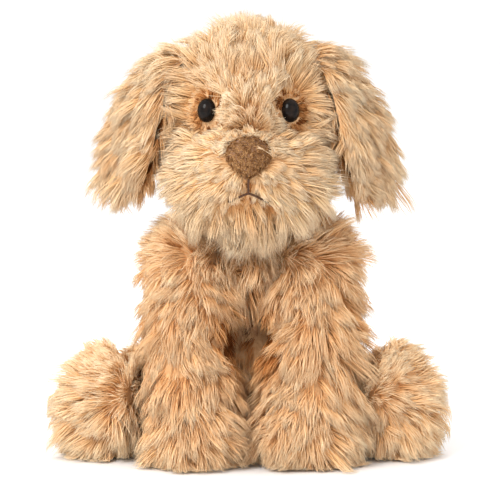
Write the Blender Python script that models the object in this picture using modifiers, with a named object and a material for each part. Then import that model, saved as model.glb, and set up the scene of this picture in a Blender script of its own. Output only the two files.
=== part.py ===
"""Seated plush puppy, built as the toy is sewn: long-pile cover panels, polyester filling,
pellet pouches in the seat and paws, safety eyes with lock washers, a padded nose and thread.

Metres, +Z up; the dog looks along -Y and its own left is +X.
Origin: middle of the footprint, on the surface that it sits on.
"""

import math

import bmesh
import bpy
import numpy as np
from mathutils import Matrix, Vector

MM = 0.001

# ---------------------------------------------------------------- driving dimensions (mm)
Y0 = -7.6  # shift of the whole design along Y, so that the footprint's middle is the origin
COVER = 3.0  # pressed thickness of a cover panel: backing and the foot of the pile
GAP = 0.3  # clearance between pieces that touch
SEAM = 0.15  # half the gap at a seam between two panels

TORSO_C = (0.0, 12.0)  # x, y of the torso's axis
TORSO_TOP = 124.0
# height, half width, half depth to the front, half depth to the back
TORSO_PROFILE = (
    (-3.5, 30.0, 26.0, 30.0),
    (4.0, 39.0, 34.0, 39.0),
    (18.0, 43.0, 36.5, 43.0),
    (36.0, 44.0, 33.0, 43.5),
    (56.0, 42.5, 28.0, 41.5),
    (76.0, 40.0, 23.0, 38.0),
    (96.0, 37.0, 21.0, 33.0),
    (110.0, 31.5, 18.5, 27.5),
    (120.0, 20.0, 12.5, 17.0),
)
TORSO_BOTTOM = -7.0
TORSO_SIDES = 18
BASE_CUT = 2.7  # the seat panel is the slice of the torso below this height

LABEL = (14.0, 20.0, 0.9)
LABEL_AT = (-23.0, 56.5, 1.3)
LABEL_TURN = 32.0

NECK = (0.0, 6.0, 126.0)
NECK_R = 23.0
NECK_BAND = 17.0  # half height of its cover

SKULL_C = (0.0, 1.0, 179.0)
SKULL_R = (40.0, 42.0, 45.0)
GUSSET_HALF = 12.0

MUZZLE_C = (0.0, -35.0, 150.5)
MUZZLE_R = (35.5, 30.0, 25.0)
MOUTH_Z = 144.5

NOSE_Z = 162.5
NOSE_HALF_W = 12.2
NOSE_HALF_H = 12.0
NOSE_RISE = 5.6
NOSE_SKIN = 1.1

EYE_R = 6.6
EYE_DOME = 4.4
EYE_X, EYE_Z = 21.4, 184.8
SHANK_R, SHANK_END = 1.9, 10.0
WASHER_R, WASHER_BORE, WASHER_T = 6.0, 2.2, 1.3
WASHER_DEPTH = 4.8

EAR_ROOT = (34.2, 1.0, 209.0)
EAR_HALF_T = 1.5

SHOULDER = (31.0, -8.0, 98.0)
SHOULDER_R = 19.0
HIP = (41.0, 20.0, 30.0)
HIP_R = 24.0
TAIL = (0.0, 54.0, 27.0)
TAIL_R = 12.0

PAW_BEANS_TO = 27.0
FOOT_BEANS_ALONG = 50.0


def P(x, y, z):
    """A design point in mm as a world point in metres."""
    return Vector((x * MM, (y + Y0) * MM, z * MM))


# ---------------------------------------------------------------- scene and helpers
for old in list(bpy.data.objects):
    bpy.data.objects.remove(old)

dog = bpy.data.collections.new("plush_dog")
cutters = bpy.data.collections.new("cutters")
bpy.context.scene.collection.children.link(dog)
bpy.context.scene.collection.children.link(cutters)

MATERIALS = {
    "pile": ((0.80, 0.62, 0.41), 0.85),
    "pile_face": ((0.84, 0.68, 0.47), 0.85),
    "sole": ((0.76, 0.58, 0.38), 0.9),
    "velour": ((0.36, 0.23, 0.14), 0.9),
    "fibre": ((0.93, 0.92, 0.88), 0.95),
    "pouch": ((0.86, 0.85, 0.80), 0.8),
    "eye": ((0.012, 0.010, 0.010), 0.08),
    "washer": ((0.85, 0.85, 0.83), 0.45),
    "thread": ((0.12, 0.07, 0.045), 0.7),
    "thread_light": ((0.78, 0.62, 0.42), 0.7),
    "label": ((0.93, 0.92, 0.90), 0.7),
}


def material(name):
    made = bpy.data.materials.get(name)
    if made is None:
        colour, rough = MATERIALS[name]
        made = bpy.data.materials.new(name)
        made.use_nodes = True
        shader = made.node_tree.nodes["Principled BSDF"]
        shader.inputs["Base Color"].default_value = (*colour, 1.0)
        shader.inputs["Roughness"].default_value = rough
        shader.inputs["Metallic"].default_value = 0.0
    return made


PIVOTS = {
    "torso": P(0, 0, 0),
    "neck": P(*NECK),
    "head": P(*NECK),
    "ear_left": P(*EAR_ROOT),
    "ear_right": P(-EAR_ROOT[0], *EAR_ROOT[1:]),
    "front_leg_left": P(*SHOULDER),
    "front_leg_right": P(-SHOULDER[0], *SHOULDER[1:]),
    "hind_leg_left": P(*HIP),
    "hind_leg_right": P(-HIP[0], *HIP[1:]),
    "tail": P(*TAIL),
}
holders = {}
for body, place in PIVOTS.items():
    empty = bpy.data.objects.new("pivot_" + body, None)
    empty.location = place
    empty.empty_display_size = 0.01
    dog.objects.link(empty)
    holders[body] = empty


def piece(name, mesh, body, slot):
    """A part: its mesh holds world points, its parent is the empty on its joint's axis."""
    obj = bpy.data.objects.new(name, mesh)
    mesh.transform(Matrix.Translation(-PIVOTS[body]))
    mesh.materials.clear()
    mesh.materials.append(material(slot))
    dog.objects.link(obj)
    obj.parent = holders[body]
    mesh.shade_smooth()
    mesh.set_sharp_from_angle(angle=math.radians(40))
    return obj


def cutter(name, mesh):
    obj = bpy.data.objects.new("cut_" + name, mesh)
    obj.display_type = "WIRE"
    obj.hide_render = True
    cutters.objects.link(obj)
    return obj


def boolean(obj, other, operation="DIFFERENCE"):
    mod = obj.modifiers.new(operation.lower(), "BOOLEAN")
    mod.object = other
    mod.operation = operation
    mod.solver = "EXACT"
    return obj


def mesh_from(bm, name):
    mesh = bpy.data.meshes.new(name)
    bm.normal_update()
    bm.to_mesh(mesh)
    bm.free()
    return mesh


def mirrored(mesh):
    """A copy on the other side of the plane X = 0, facing out."""
    bm = bmesh.new()
    bm.from_mesh(mesh)
    for v in bm.verts:
        v.co.x = -v.co.x
    bmesh.ops.reverse_faces(bm, faces=bm.faces)
    return mesh_from(bm, mesh.name + "_m")


def facing_out(bm):
    """Nested forms get the same diagonals, so that they keep their distance all over."""
    bmesh.ops.triangulate(bm, faces=bm.faces, quad_method="FIXED", ngon_method="BEAUTY")
    if bm.calc_volume(signed=True) < 0.0:
        bmesh.ops.reverse_faces(bm, faces=bm.faces)
    return bm


def ball_form(name, segments, rings, place):
    """A UV sphere whose unit vectors are moved by place(unit) -> world point."""
    bm = bmesh.new()
    bmesh.ops.create_uvsphere(bm, u_segments=segments, v_segments=rings, radius=1.0)
    for v in bm.verts:
        v.co = place(v.co.copy())
    return mesh_from(facing_out(bm), name)


def ellipsoid(centre, radii, grow=0.0):
    def place(u):
        return P(*(c + u[i] * (radii[i] + grow) for i, c in enumerate(centre)))

    return place


def stack_form(name, segments, rings):
    """A soft form through a stack of rings. A ring is (centre, side, up, half side, half up) in mm.
    The first and last rings are points. It starts as a UV sphere with one ring of vertices each."""
    bm = bmesh.new()
    n = len(rings) - 1
    bmesh.ops.create_uvsphere(bm, u_segments=segments, v_segments=n, radius=1.0)
    for v in bm.verts:
        u = v.co.normalized()
        j = int(round(math.acos(max(-1.0, min(1.0, u.z))) / math.pi * n))
        centre, side, up, a, b = rings[j]
        if j in (0, n):
            at = Vector(centre)
        else:
            phi = math.atan2(u.y, u.x)
            at = Vector(centre) + side * (a * math.cos(phi)) + up * (b * math.sin(phi))
        v.co = P(*at)
    return mesh_from(facing_out(bm), name)


def thread_form(name, points, radius, sides=7):
    """Thread laid along the given points (mm), rounded off at both ends."""
    pts = [Vector(p) for p in points]
    rings = []
    last = len(pts) - 1
    for i, c in enumerate(pts):
        along = (pts[min(i + 1, last)] - pts[max(i - 1, 0)]).normalized()
        side = along.cross(Vector((0, 1, 0))).normalized()
        up = side.cross(along).normalized()
        if i == 0:
            rings.append((c - along * radius, side, up, 0.0, 0.0))
        rings.append((c, side, up, radius, radius))
        if i == last:
            rings.append((c + along * radius, side, up, 0.0, 0.0))
    return stack_form(name, sides, rings)


def catmull(points, t):
    """A point on a smooth curve through the given tuples, t from 0 to len - 1."""
    p = [np.array(q, float) for q in points]
    p = [2 * p[0] - p[1], *p, 2 * p[-1] - p[-2]]
    i = min(int(t), len(points) - 2)
    f = t - i
    a, b, c, d = p[i : i + 4]
    return 0.5 * (
        2 * b + (c - a) * f + (2 * a - 5 * b + 4 * c - d) * f**2 + (3 * b - 3 * c + d - a) * f**3
    )


def limb_rings(stations, steps, cap_start, cap_end, up=(0.0, 0.0, 1.0), caps=3):
    """Rings along a limb. A station is (x, y, z, half side, half up); the caps are half ellipsoids."""
    count = steps * (len(stations) - 1) + 1
    data = [catmull(stations, i / steps) for i in range(count)]
    centres = [Vector(d[:3]) for d in data]
    rings = []
    frames = []
    for i, c in enumerate(centres):
        along = centres[min(i + 1, count - 1)] - centres[max(i - 1, 0)]
        along.normalize()
        side = along.cross(Vector(up)).normalized()
        frames.append((along, side, side.cross(along).normalized()))
    along, side, upv = frames[0]
    a, b = data[0][3], data[0][4]
    rings.append((centres[0] - along * cap_start, side, upv, 0.0, 0.0))
    for k in range(1, caps + 1):
        ang = math.pi / 2 * k / (caps + 1)
        rings.append(
            (centres[0] - along * (cap_start * math.cos(ang)), side, upv, a * math.sin(ang), b * math.sin(ang))
        )
    for (al, s, u), c, d in zip(frames, centres, data):
        rings.append((c, s, u, float(d[3]), float(d[4])))
    along, side, upv = frames[-1]
    a, b = data[-1][3], data[-1][4]
    for k in range(caps, 0, -1):
        ang = math.pi / 2 * k / (caps + 1)
        rings.append(
            (centres[-1] + along * (cap_end * math.cos(ang)), side, upv, a * math.sin(ang), b * math.sin(ang))
        )
    rings.append((centres[-1] + along * cap_end, side, upv, 0.0, 0.0))
    return rings


def limb_form(name, segments, line, cap_start, cap_end, up, grow=0.0, caps=3):
    """The limb of the given line with every radius larger by grow (mm)."""
    stations = [(*p[:3], p[3] + grow, p[4] + grow) for p in line]
    return stack_form(name, segments, limb_rings(stations, 1, cap_start + grow, cap_end + grow, up, caps))


def shrunk(mesh, by):
    """A copy drawn in along its normals by this many mm."""
    bm = bmesh.new()
    bm.from_mesh(mesh)
    bm.normal_update()
    moved = [v.co - v.normal * (by * MM) for v in bm.verts]
    for v, co in zip(bm.verts, moved):
        v.co = co
    return mesh_from(bm, mesh.name + "_in")


def shell(outer, inner):
    """The skin between two forms, as one mesh whose hollow is the inner form."""
    bm = bmesh.new()
    bm.from_mesh(inner)
    bmesh.ops.reverse_faces(bm, faces=bm.faces)
    bm.from_mesh(outer)
    return mesh_from(bm, outer.name + "_shell")


def half_space(name, point, normal, size=900.0):
    """A big box whose one face passes through point (mm) and which lies on normal's side."""
    bm = bmesh.new()
    bmesh.ops.create_cube(bm, size=size * MM)
    n = Vector(normal).normalized()
    turn = Vector((0, 0, 1)).rotation_difference(n).to_matrix().to_4x4()
    at = P(*point) + n * (size * MM / 2)
    bmesh.ops.transform(bm, matrix=Matrix.Translation(at) @ turn, verts=bm.verts)
    return cutter(name, mesh_from(bm, name))


def slab(name, low, high):
    """A box between two corners in mm."""
    bm = bmesh.new()
    bmesh.ops.create_cube(bm, size=1.0)
    a, b = P(*low), P(*high)
    for v in bm.verts:
        v.co = Vector(((a[i] + b[i]) / 2 + v.co[i] * (b[i] - a[i]) for i in range(3)))
    return cutter(name, mesh_from(bm, name))


def sphere_cutter(name, centre, radius, segments=16, rings=10):
    """A ball-shaped room whose flats, not its corners, lie at the radius."""
    r = radius / (math.cos(math.pi / segments) * math.cos(math.pi / (2 * rings)))
    lean = Matrix.Rotation(math.radians(math.copysign(7.0, centre[0])), 3, "Y") @ Matrix.Rotation(
        math.radians(5.0), 3, "X"
    )
    return cutter(name, ball_form(name, segments, rings, lambda u: P(*(Vector(centre) + lean @ u * r))))


def rod_cutter(name, start, direction, radius, length, segments=20):
    bm = bmesh.new()
    bmesh.ops.create_cone(
        bm, cap_ends=True, segments=segments, radius1=radius * MM, radius2=radius * MM, depth=length * MM
    )
    d = Vector(direction).normalized()
    turn = Vector((0, 0, 1)).rotation_difference(d).to_matrix().to_4x4()
    at = start + d * (length * MM / 2)
    bmesh.ops.transform(bm, matrix=Matrix.Translation(at) @ turn, verts=bm.verts)
    return cutter(name, mesh_from(bm, name))


SIDES = (("left", 1.0), ("right", -1.0))

# ---------------------------------------------------------------- limb forms
ROOM = 0.8  # what each limb needs beside its ball
BACK_SWING = -3.0  # degrees that the front legs go back
FRONT_LINE = (
    (*SHOULDER, SHOULDER_R, SHOULDER_R),
    (31.5, -24.0, 73.0, 18.6, 18.6),
    (31.5, -37.0, 48.0, 17.8, 17.8),
    (30.5, -45.5, 27.0, 18.8, 19.0),
    (29.5, -51.5, 12.0, 21.0, 20.5),
)
front, front_in, front_core, front_room = (
    limb_form("front_leg", 14, FRONT_LINE, SHOULDER_R, 17.0, (0, 1, 0), grow)
    for grow in (0.0, -COVER, -COVER - GAP, ROOM)
)

HIND_LINE = (
    (*HIP, HIP_R, HIP_R),
    (55.0, 4.5, 25.0, 18.5, 21.5),
    (67.0, -10.5, 22.5, 15.5, 23.0),
    (75.0, -22.5, 24.5, 16.5, 27.0),
    (80.0, -31.0, 26.5, 17.0, 29.0),
)
HIND_DIR = Vector((39.0, -51.0, 0.0)).normalized()
hind, hind_in, hind_core, hind_room = (
    limb_form("hind_leg", 14, HIND_LINE, HIP_R, 10.0, (0, 0, 1), grow)
    for grow in (0.0, -COVER, -COVER - GAP, ROOM)
)

def turned(mesh, pivot, axis, degrees):
    at = P(*pivot)
    turn = Matrix.Translation(at) @ Matrix.Rotation(math.radians(degrees), 4, axis) @ Matrix.Translation(-at)
    copy = mesh.copy()
    copy.transform(turn)
    return copy


rooms = {}
for side, s in SIDES:
    pick = (lambda m: m.copy()) if s > 0 else mirrored
    rooms["front_" + side] = [
        cutter("front_room_%s_%d" % (side, k), pick(turned(front_room, SHOULDER, "X", a)))
        for k, a in enumerate((0.0, -BACK_SWING))
    ]
    rooms["hind_" + side] = [cutter("hind_room_" + side, pick(hind_room))]

# ---------------------------------------------------------------- torso
torso_rings = [((TORSO_C[0], TORSO_C[1], TORSO_BOTTOM), Vector((1, 0, 0)), Vector((0, 1, 0)), 0.0, 0.0)]
for h, a, ahead, behind in TORSO_PROFILE:
    middle = TORSO_C[1] + (behind - ahead) / 2
    torso_rings.append(
        ((TORSO_C[0], middle, h), Vector((1, 0, 0)), Vector((0, 1, 0)), a, (ahead + behind) / 2)
    )
torso_rings.append(
    ((TORSO_C[0], TORSO_C[1], TORSO_TOP), Vector((1, 0, 0)), Vector((0, 1, 0)), 0.0, 0.0)
)
torso_rings.reverse()
torso_form = stack_form("torso", TORSO_SIDES, torso_rings)
torso_in = shrunk(torso_form, COVER)
torso_core = shrunk(torso_form, COVER + GAP)

sockets = {"neck": sphere_cutter("neck_socket", NECK, NECK_R + 0.6)}
for side, s in SIDES:
    sockets["shoulder_" + side] = sphere_cutter(
        "shoulder_socket_" + side, (s * SHOULDER[0], *SHOULDER[1:]), SHOULDER_R + 0.6
    )
    sockets["hip_" + side] = sphere_cutter("hip_socket_" + side, (s * HIP[0], *HIP[1:]), HIP_R + 0.6)
sockets["tail"] = sphere_cutter("tail_socket", TAIL, TAIL_R + 1.4, 14, 8)

above_base = half_space("above_base", (0, 0, COVER), (0, 0, 1))
base_slab = slab("base_slab", (-150, -150, 0), (150, 150, BASE_CUT))
belly_side = half_space("belly_side", (0, TORSO_C[1] + 2 - SEAM, 0), (0, -1, 0))
back_side = half_space("back_side", (0, TORSO_C[1] + 2 + SEAM, 0), (0, 1, 0))
left_of_middle = half_space("left_of_middle", (SEAM, 0, 0), (1, 0, 0))
right_of_middle = half_space("right_of_middle", (-SEAM, 0, 0), (-1, 0, 0))

belly = piece("torso_belly_panel", shell(torso_form, torso_in), "torso", "pile")
boolean(belly, above_base, "INTERSECT")
boolean(belly, belly_side, "INTERSECT")
for key in ("neck", "shoulder_left", "shoulder_right", "hip_left", "hip_right"):
    boolean(belly, sockets[key])
for side, _ in SIDES:
    for room in rooms["front_" + side] + rooms["hind_" + side]:
        boolean(belly, room)
for side, region in (("left", left_of_middle), ("right", right_of_middle)):
    back = piece("torso_back_%s_panel" % side, shell(torso_form, torso_in), "torso", "pile")
    boolean(back, above_base, "INTERSECT")
    boolean(back, back_side, "INTERSECT")
    boolean(back, region, "INTERSECT")
    for key in ("neck", "hip_" + side, "tail"):
        boolean(back, sockets[key])

base = piece("torso_base_panel", torso_form.copy(), "torso", "sole")
boolean(base, base_slab, "INTERSECT")

beans_top = 34.0
core_low = half_space("core_low", (0, 0, beans_top - SEAM), (0, 0, -1))
core_high = half_space("core_high", (0, 0, beans_top + SEAM), (0, 0, 1))
beans = piece("seat_pellet_pouch", torso_core.copy(), "torso", "pouch")
boolean(beans, above_base, "INTERSECT")
boolean(beans, core_low, "INTERSECT")
filling = piece("torso_filling", torso_core.copy(), "torso", "fibre")
for key in ("hip_left", "hip_right", "tail"):
    boolean(beans, sockets[key])
    boolean(filling, sockets[key])
boolean(filling, core_high, "INTERSECT")
for key in ("neck", "shoulder_left", "shoulder_right"):
    boolean(filling, sockets[key])
for side, _ in SIDES:
    boolean(filling, rooms["front_" + side][0])
    boolean(beans, rooms["hind_" + side][0])

# hand-sewn ladder stitch that closes the back seam, zigzagging over it
back_y = TORSO_C[1] + 41.0


def torso_back(z):
    """How far back the torso's middle line lies at height z."""
    rows = TORSO_PROFILE[1:]
    for (h0, _, a0, b0), (h1, _, a1, b1) in zip(rows, rows[1:]):
        if h0 <= z <= h1:
            f = (z - h0) / (h1 - h0)
            ahead, behind = a0 + (a1 - a0) * f, b0 + (b1 - b0) * f
            flat = math.cos(math.pi / TORSO_SIDES)
            return TORSO_C[1] + (behind - ahead) / 2 + (ahead + behind) / 2 * flat
    return TORSO_C[1] + rows[-1][3]


stitches = 15
zigzag = [
    (1.6 if i % 2 else -1.6, torso_back(52.0 + i * 3.0) + 0.95, 52.0 + i * 3.0)
    for i in range(stitches)
]
piece("closing_stitch", thread_form("closing_stitch", zigzag, 0.4, 5), "torso", "thread_light")

# blank folded ribbon caught in the seat's seam beside the tail; it lies flat on the ground
bm = bmesh.new()
bmesh.ops.create_cube(bm, size=1.0)
for v in bm.verts:
    v.co = Vector((v.co.x * LABEL[0] * MM, v.co.y * LABEL[1] * MM, v.co.z * LABEL[2] * MM))
bmesh.ops.transform(
    bm,
    matrix=Matrix.Translation(P(*LABEL_AT)) @ Matrix.Rotation(math.radians(LABEL_TURN), 4, "Z"),
    verts=bm.verts,
)
tag = piece("sewn_in_label", mesh_from(bm, "label"), "torso", "label")
bevel = tag.modifiers.new("edge", "BEVEL")
bevel.width = 0.2 * MM
bevel.segments = 1

# ---------------------------------------------------------------- neck
neck_ball, neck_in, neck_core = (
    ball_form("neck", 18, 11, ellipsoid(NECK, (NECK_R - drop,) * 3)) for drop in (0.0, COVER, COVER + GAP)
)
band = slab(
    "neck_band", (-60, NECK[1] - 60, NECK[2] - NECK_BAND), (60, NECK[1] + 60, NECK[2] + NECK_BAND)
)
collar = piece("neck_cover", shell(neck_ball, neck_in), "neck", "pile")
boolean(collar, band, "INTERSECT")
piece("neck_filling", neck_core, "neck", "fibre")

# ---------------------------------------------------------------- head
skull = ball_form("skull", 20, 13, ellipsoid(SKULL_C, SKULL_R))
skull_in = ball_form("skull_in", 20, 13, ellipsoid(SKULL_C, SKULL_R, -COVER))
skull_core = ball_form("skull_core", 20, 13, ellipsoid(SKULL_C, SKULL_R, -COVER - GAP))
muzzle = ball_form("muzzle", 18, 11, ellipsoid(MUZZLE_C, MUZZLE_R))
muzzle_in = ball_form("muzzle_in", 18, 11, ellipsoid(MUZZLE_C, MUZZLE_R, -COVER))
muzzle_core = ball_form("muzzle_core", 18, 11, ellipsoid(MUZZLE_C, MUZZLE_R, -COVER - GAP))
muzzle_room = cutter("muzzle_room", ball_form("muzzle_room", 18, 11, ellipsoid(MUZZLE_C, MUZZLE_R, GAP)))

neck_room = sphere_cutter("neck_room", NECK, NECK_R + 0.6)
side_cut = {
    "left": half_space("head_left", (GUSSET_HALF + SEAM, 0, 0), (1, 0, 0)),
    "right": half_space("head_right", (-GUSSET_HALF - SEAM, 0, 0), (-1, 0, 0)),
}
gusset_slab = slab(
    "gusset", (-GUSSET_HALF + SEAM, -80, 100), (GUSSET_HALF - SEAM, 90, 250)
)


def skull_at(x, z):
    """The skull's front surface point and outward normal at x, z (mm)."""
    cx, cy, cz = SKULL_C
    rx, ry, rz = SKULL_R
    y = cy - ry * math.sqrt(1 - ((x - cx) / rx) ** 2 - ((z - cz) / rz) ** 2)
    n = Vector(((x - cx) / rx**2, (y - cy) / ry**2, (z - cz) / rz**2)).normalized()
    return Vector((x, y, z)), n


def muzzle_at(x, z, lift=0.0):
    cx, cy, cz = MUZZLE_C
    rx, ry, rz = MUZZLE_R
    y = cy - ry * math.sqrt(1 - ((x - cx) / rx) ** 2 - ((z - cz) / rz) ** 2)
    n = Vector(((x - cx) / rx**2, (y - cy) / ry**2, (z - cz) / rz**2)).normalized()
    return Vector((x, y, z)) + n * lift, n


eye_place = {}
for side, s in SIDES:
    at, n = skull_at(s * EYE_X, EYE_Z)
    eye_place[side] = (at, n)

throat = slab("throat", (-60, -80, 110), (60, -2, 150))
skull_hollow = cutter("skull_hollow", ball_form("skull_hollow", 20, 13, ellipsoid(SKULL_C, SKULL_R, -COVER)))
muzzle_hollow = cutter("muzzle_hollow", ball_form("muzzle_hollow", 18, 11, ellipsoid(MUZZLE_C, MUZZLE_R, -COVER)))
gusset = piece("head_gusset", shell(skull, skull_in), "head", "pile_face")
boolean(gusset, gusset_slab, "INTERSECT")
boolean(gusset, neck_room)
boolean(gusset, muzzle_room)
boolean(gusset, throat)
eye_cuts = {}
for side, s in SIDES:
    panel = piece("head_%s_panel" % side, shell(skull, skull_in), "head", "pile_face")
    boolean(panel, side_cut[side], "INTERSECT")
    boolean(panel, neck_room)
    boolean(panel, muzzle_room)
    at, n = eye_place[side]
    outside = P(*(at + n * 4.0))
    hole = rod_cutter("eye_hole_" + side, outside, -n, SHANK_R + 0.45, 4.0 + SHANK_END + 0.8, 12)
    pocket = rod_cutter(
        "eye_pocket_" + side, outside, -n, WASHER_R + 0.7, 4.0 + WASHER_DEPTH + WASHER_T + 0.4, 14
    )
    boolean(panel, hole)
    eye_cuts[side] = (hole, pocket)
filling = piece("head_filling", skull_core, "head", "fibre")
boolean(filling, neck_room)
boolean(filling, muzzle_hollow)
for side, _ in SIDES:
    boolean(filling, eye_cuts[side][0])
    boolean(filling, eye_cuts[side][1])

# muzzle and chin panels, open at the back where their filling joins the head's
mouth_n = Vector((0, 0.10, 1.0)).normalized()
above_mouth = half_space("above_mouth", (0, -60, MOUTH_Z + SEAM), mouth_n)
below_mouth = half_space("below_mouth", (0, -60, MOUTH_Z - SEAM), -mouth_n)
upper = piece("muzzle_panel", shell(muzzle, muzzle_in), "head", "pile_face")
boolean(upper, above_mouth, "INTERSECT")
boolean(upper, skull_hollow)
chin = piece("chin_panel", shell(muzzle, muzzle_in), "head", "pile_face")
boolean(chin, below_mouth, "INTERSECT")
boolean(chin, skull_hollow)
fill = piece("muzzle_filling", muzzle_core, "head", "fibre")
boolean(fill, neck_room)
for m in (upper, chin):
    boolean(m, neck_room)

# nose: a rounded triangle of short velour over a small pad, seated on the muzzle
nose_at, nose_n = muzzle_at(0.0, NOSE_Z)
nose_up = (Vector((0, 0, 1)) - nose_n * nose_n.z).normalized()
nose_side = Vector((1, 0, 0))


def nose_place(shrink):
    def place(u):
        narrow = 1.0 - 0.34 * max(0.0, -u.y) ** 1.2 - 0.05 * max(0.0, u.y)
        x = u.x * (NOSE_HALF_W - shrink) * narrow
        y = u.y * (NOSE_HALF_H - shrink)
        z = u.z * (NOSE_RISE - shrink)
        at = nose_at + nose_side * x + nose_up * y + nose_n * z
        return P(*at)

    return place


nose_out = ball_form("nose", 14, 8, nose_place(0.0))
nose_in = ball_form("nose_in", 14, 8, nose_place(NOSE_SKIN))
nose_core = ball_form("nose_core", 14, 8, nose_place(NOSE_SKIN + GAP))
nose_floor = cutter("nose_floor", ball_form("nose_floor", 18, 11, ellipsoid(MUZZLE_C, MUZZLE_R, GAP + 0.15)))
cover = piece("nose_cover", shell(nose_out, nose_in), "head", "velour")
boolean(cover, nose_floor)
pad = piece("nose_pad", nose_core, "head", "fibre")
boolean(pad, nose_floor)

# mouth: dark thread, one stroke down from the nose and a curved lip line
lip = []
for i in range(15):
    x = -11.0 + 22.0 * i / 14
    z = MOUTH_Z - 0.2 - 5.6 * (abs(x) / 11.0) ** 1.35
    lip.append(muzzle_at(x, z, 1.15)[0])
piece("lip_stitch", thread_form("lip", lip, 0.55), "head", "thread")
stroke = [muzzle_at(0.0, z, 1.15)[0] for z in np.linspace(MOUTH_Z + 1.3, 150.0, 5)]
piece("philtrum_stitch", thread_form("philtrum", stroke, 0.55), "head", "thread")

# safety eyes: a domed button on a shank, held by a lock washer behind the panel
for side, s in SIDES:
    at, n = eye_place[side]
    turn = Vector((0, 0, 1)).rotation_difference(n).to_matrix().to_4x4()
    profile = [(0.0, EYE_DOME)]
    for k in range(1, 6):
        ang = math.pi / 2 * k / 5
        profile.append((EYE_R * math.sin(ang), EYE_DOME * math.cos(ang)))
    profile += [(EYE_R - 0.3, -0.25), (SHANK_R + 0.5, -0.25), (SHANK_R, -0.7)]
    profile += [(SHANK_R, -SHANK_END + 0.6), (SHANK_R - 0.7, -SHANK_END), (0.0, -SHANK_END)]
    me = bpy.data.meshes.new("eye_profile_" + side)
    me.from_pydata(
        [(x * MM, 0.0, z * MM) for x, z in profile],
        [(i, i + 1) for i in range(len(profile) - 1)],
        [],
    )
    eye = bpy.data.objects.new("eye_" + side, me)
    me.materials.append(material("eye"))
    dog.objects.link(eye)
    eye.parent = holders["head"]
    eye.matrix_parent_inverse = Matrix.Translation(-PIVOTS["head"])
    eye.matrix_basis = Matrix.Translation(P(*(at + n * 0.65))) @ turn
    screw = eye.modifiers.new("turned", "SCREW")
    screw.axis = "Z"
    screw.steps = screw.render_steps = 18
    screw.use_merge_vertices = True
    screw.merge_threshold = 0.00005
    screw.use_smooth_shade = True

    ring = [(WASHER_R, 0.0), (WASHER_R, -WASHER_T), (WASHER_BORE, -WASHER_T), (WASHER_BORE, 0.0)]
    me = bpy.data.meshes.new("washer_profile_" + side)
    me.from_pydata(
        [(x * MM, 0.0, z * MM) for x, z in ring], [(0, 1), (1, 2), (2, 3), (3, 0)], []
    )
    washer = bpy.data.objects.new("eye_washer_" + side, me)
    me.materials.append(material("washer"))
    dog.objects.link(washer)
    washer.parent = holders["head"]
    washer.matrix_parent_inverse = Matrix.Translation(-PIVOTS["head"])
    washer.matrix_basis = Matrix.Translation(P(*(at - n * WASHER_DEPTH))) @ turn
    screw = washer.modifiers.new("turned", "SCREW")
    screw.axis = "Z"
    screw.steps = screw.render_steps = 14
    screw.use_merge_vertices = True
    screw.merge_threshold = 0.00005

# ---------------------------------------------------------------- ears
# the ear's middle line from its root: x, y, z, half width; it flares out, then hangs
EAR_LINE = (
    (*EAR_ROOT, 14.0),
    (43.2, -1.0, 203.5, 15.5),
    (52.5, -4.5, 191.0, 18.5),
    (59.0, -8.0, 174.5, 20.0),
    (62.5, -10.0, 158.5, 18.5),
    (64.0, -11.0, 149.0, 14.5),
)
EAR_TWIST = (8.0, 18.0, 28.0, 34.0, 38.0, 40.0)  # degrees that the flap turns to the front


def ear_rings(offset):
    rings = []
    n = len(EAR_LINE)
    steps = 1
    data = [
        catmull([(*p, t) for p, t in zip(EAR_LINE, EAR_TWIST)], i / steps)
        for i in range(steps * (n - 1) + 1)
    ]
    frames = []
    for i, d in enumerate(data):
        along = Vector(data[min(i + 1, len(data) - 1)][:3]) - Vector(data[max(i - 1, 0)][:3])
        along.normalize()
        t = math.radians(float(d[4]))
        wide = Vector((math.sin(t), math.cos(t), 0.0))
        wide = (wide - along * wide.dot(along)).normalized()
        out = wide.cross(along).normalized()
        if out.x < 0:
            out = -out
        frames.append((Vector(d[:3]), along, wide, out, float(d[3])))
    c, along, wide, out, w = frames[0]
    rings.append((c - along * 1.4 + out * offset, wide, out, 0.0, 0.0))
    rings.append((c - along * 1.0 + out * offset, wide, out, w * 0.96, EAR_HALF_T * 0.7))
    for c, along, wide, out, w in frames:
        rings.append((c + out * offset, wide, out, w, EAR_HALF_T))
    c, along, wide, out, w = frames[-1]
    rings.append((c + along * 3.6 + out * offset, wide, out, w * 0.72, EAR_HALF_T * 0.95))
    rings.append((c + along * 5.4 + out * offset, wide, out, w * 0.40, EAR_HALF_T * 0.8))
    rings.append((c + along * 6.0 + out * offset, wide, out, 0.0, 0.0))
    return rings


for label, offset in (("outer", EAR_HALF_T + SEAM), ("inner", -EAR_HALF_T - SEAM)):
    flap = stack_form("ear_" + label, 12, ear_rings(offset))
    piece("ear_right_%s_panel" % label, mirrored(flap), "ear_right", "pile")
    piece("ear_left_%s_panel" % label, flap, "ear_left", "pile")

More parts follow.
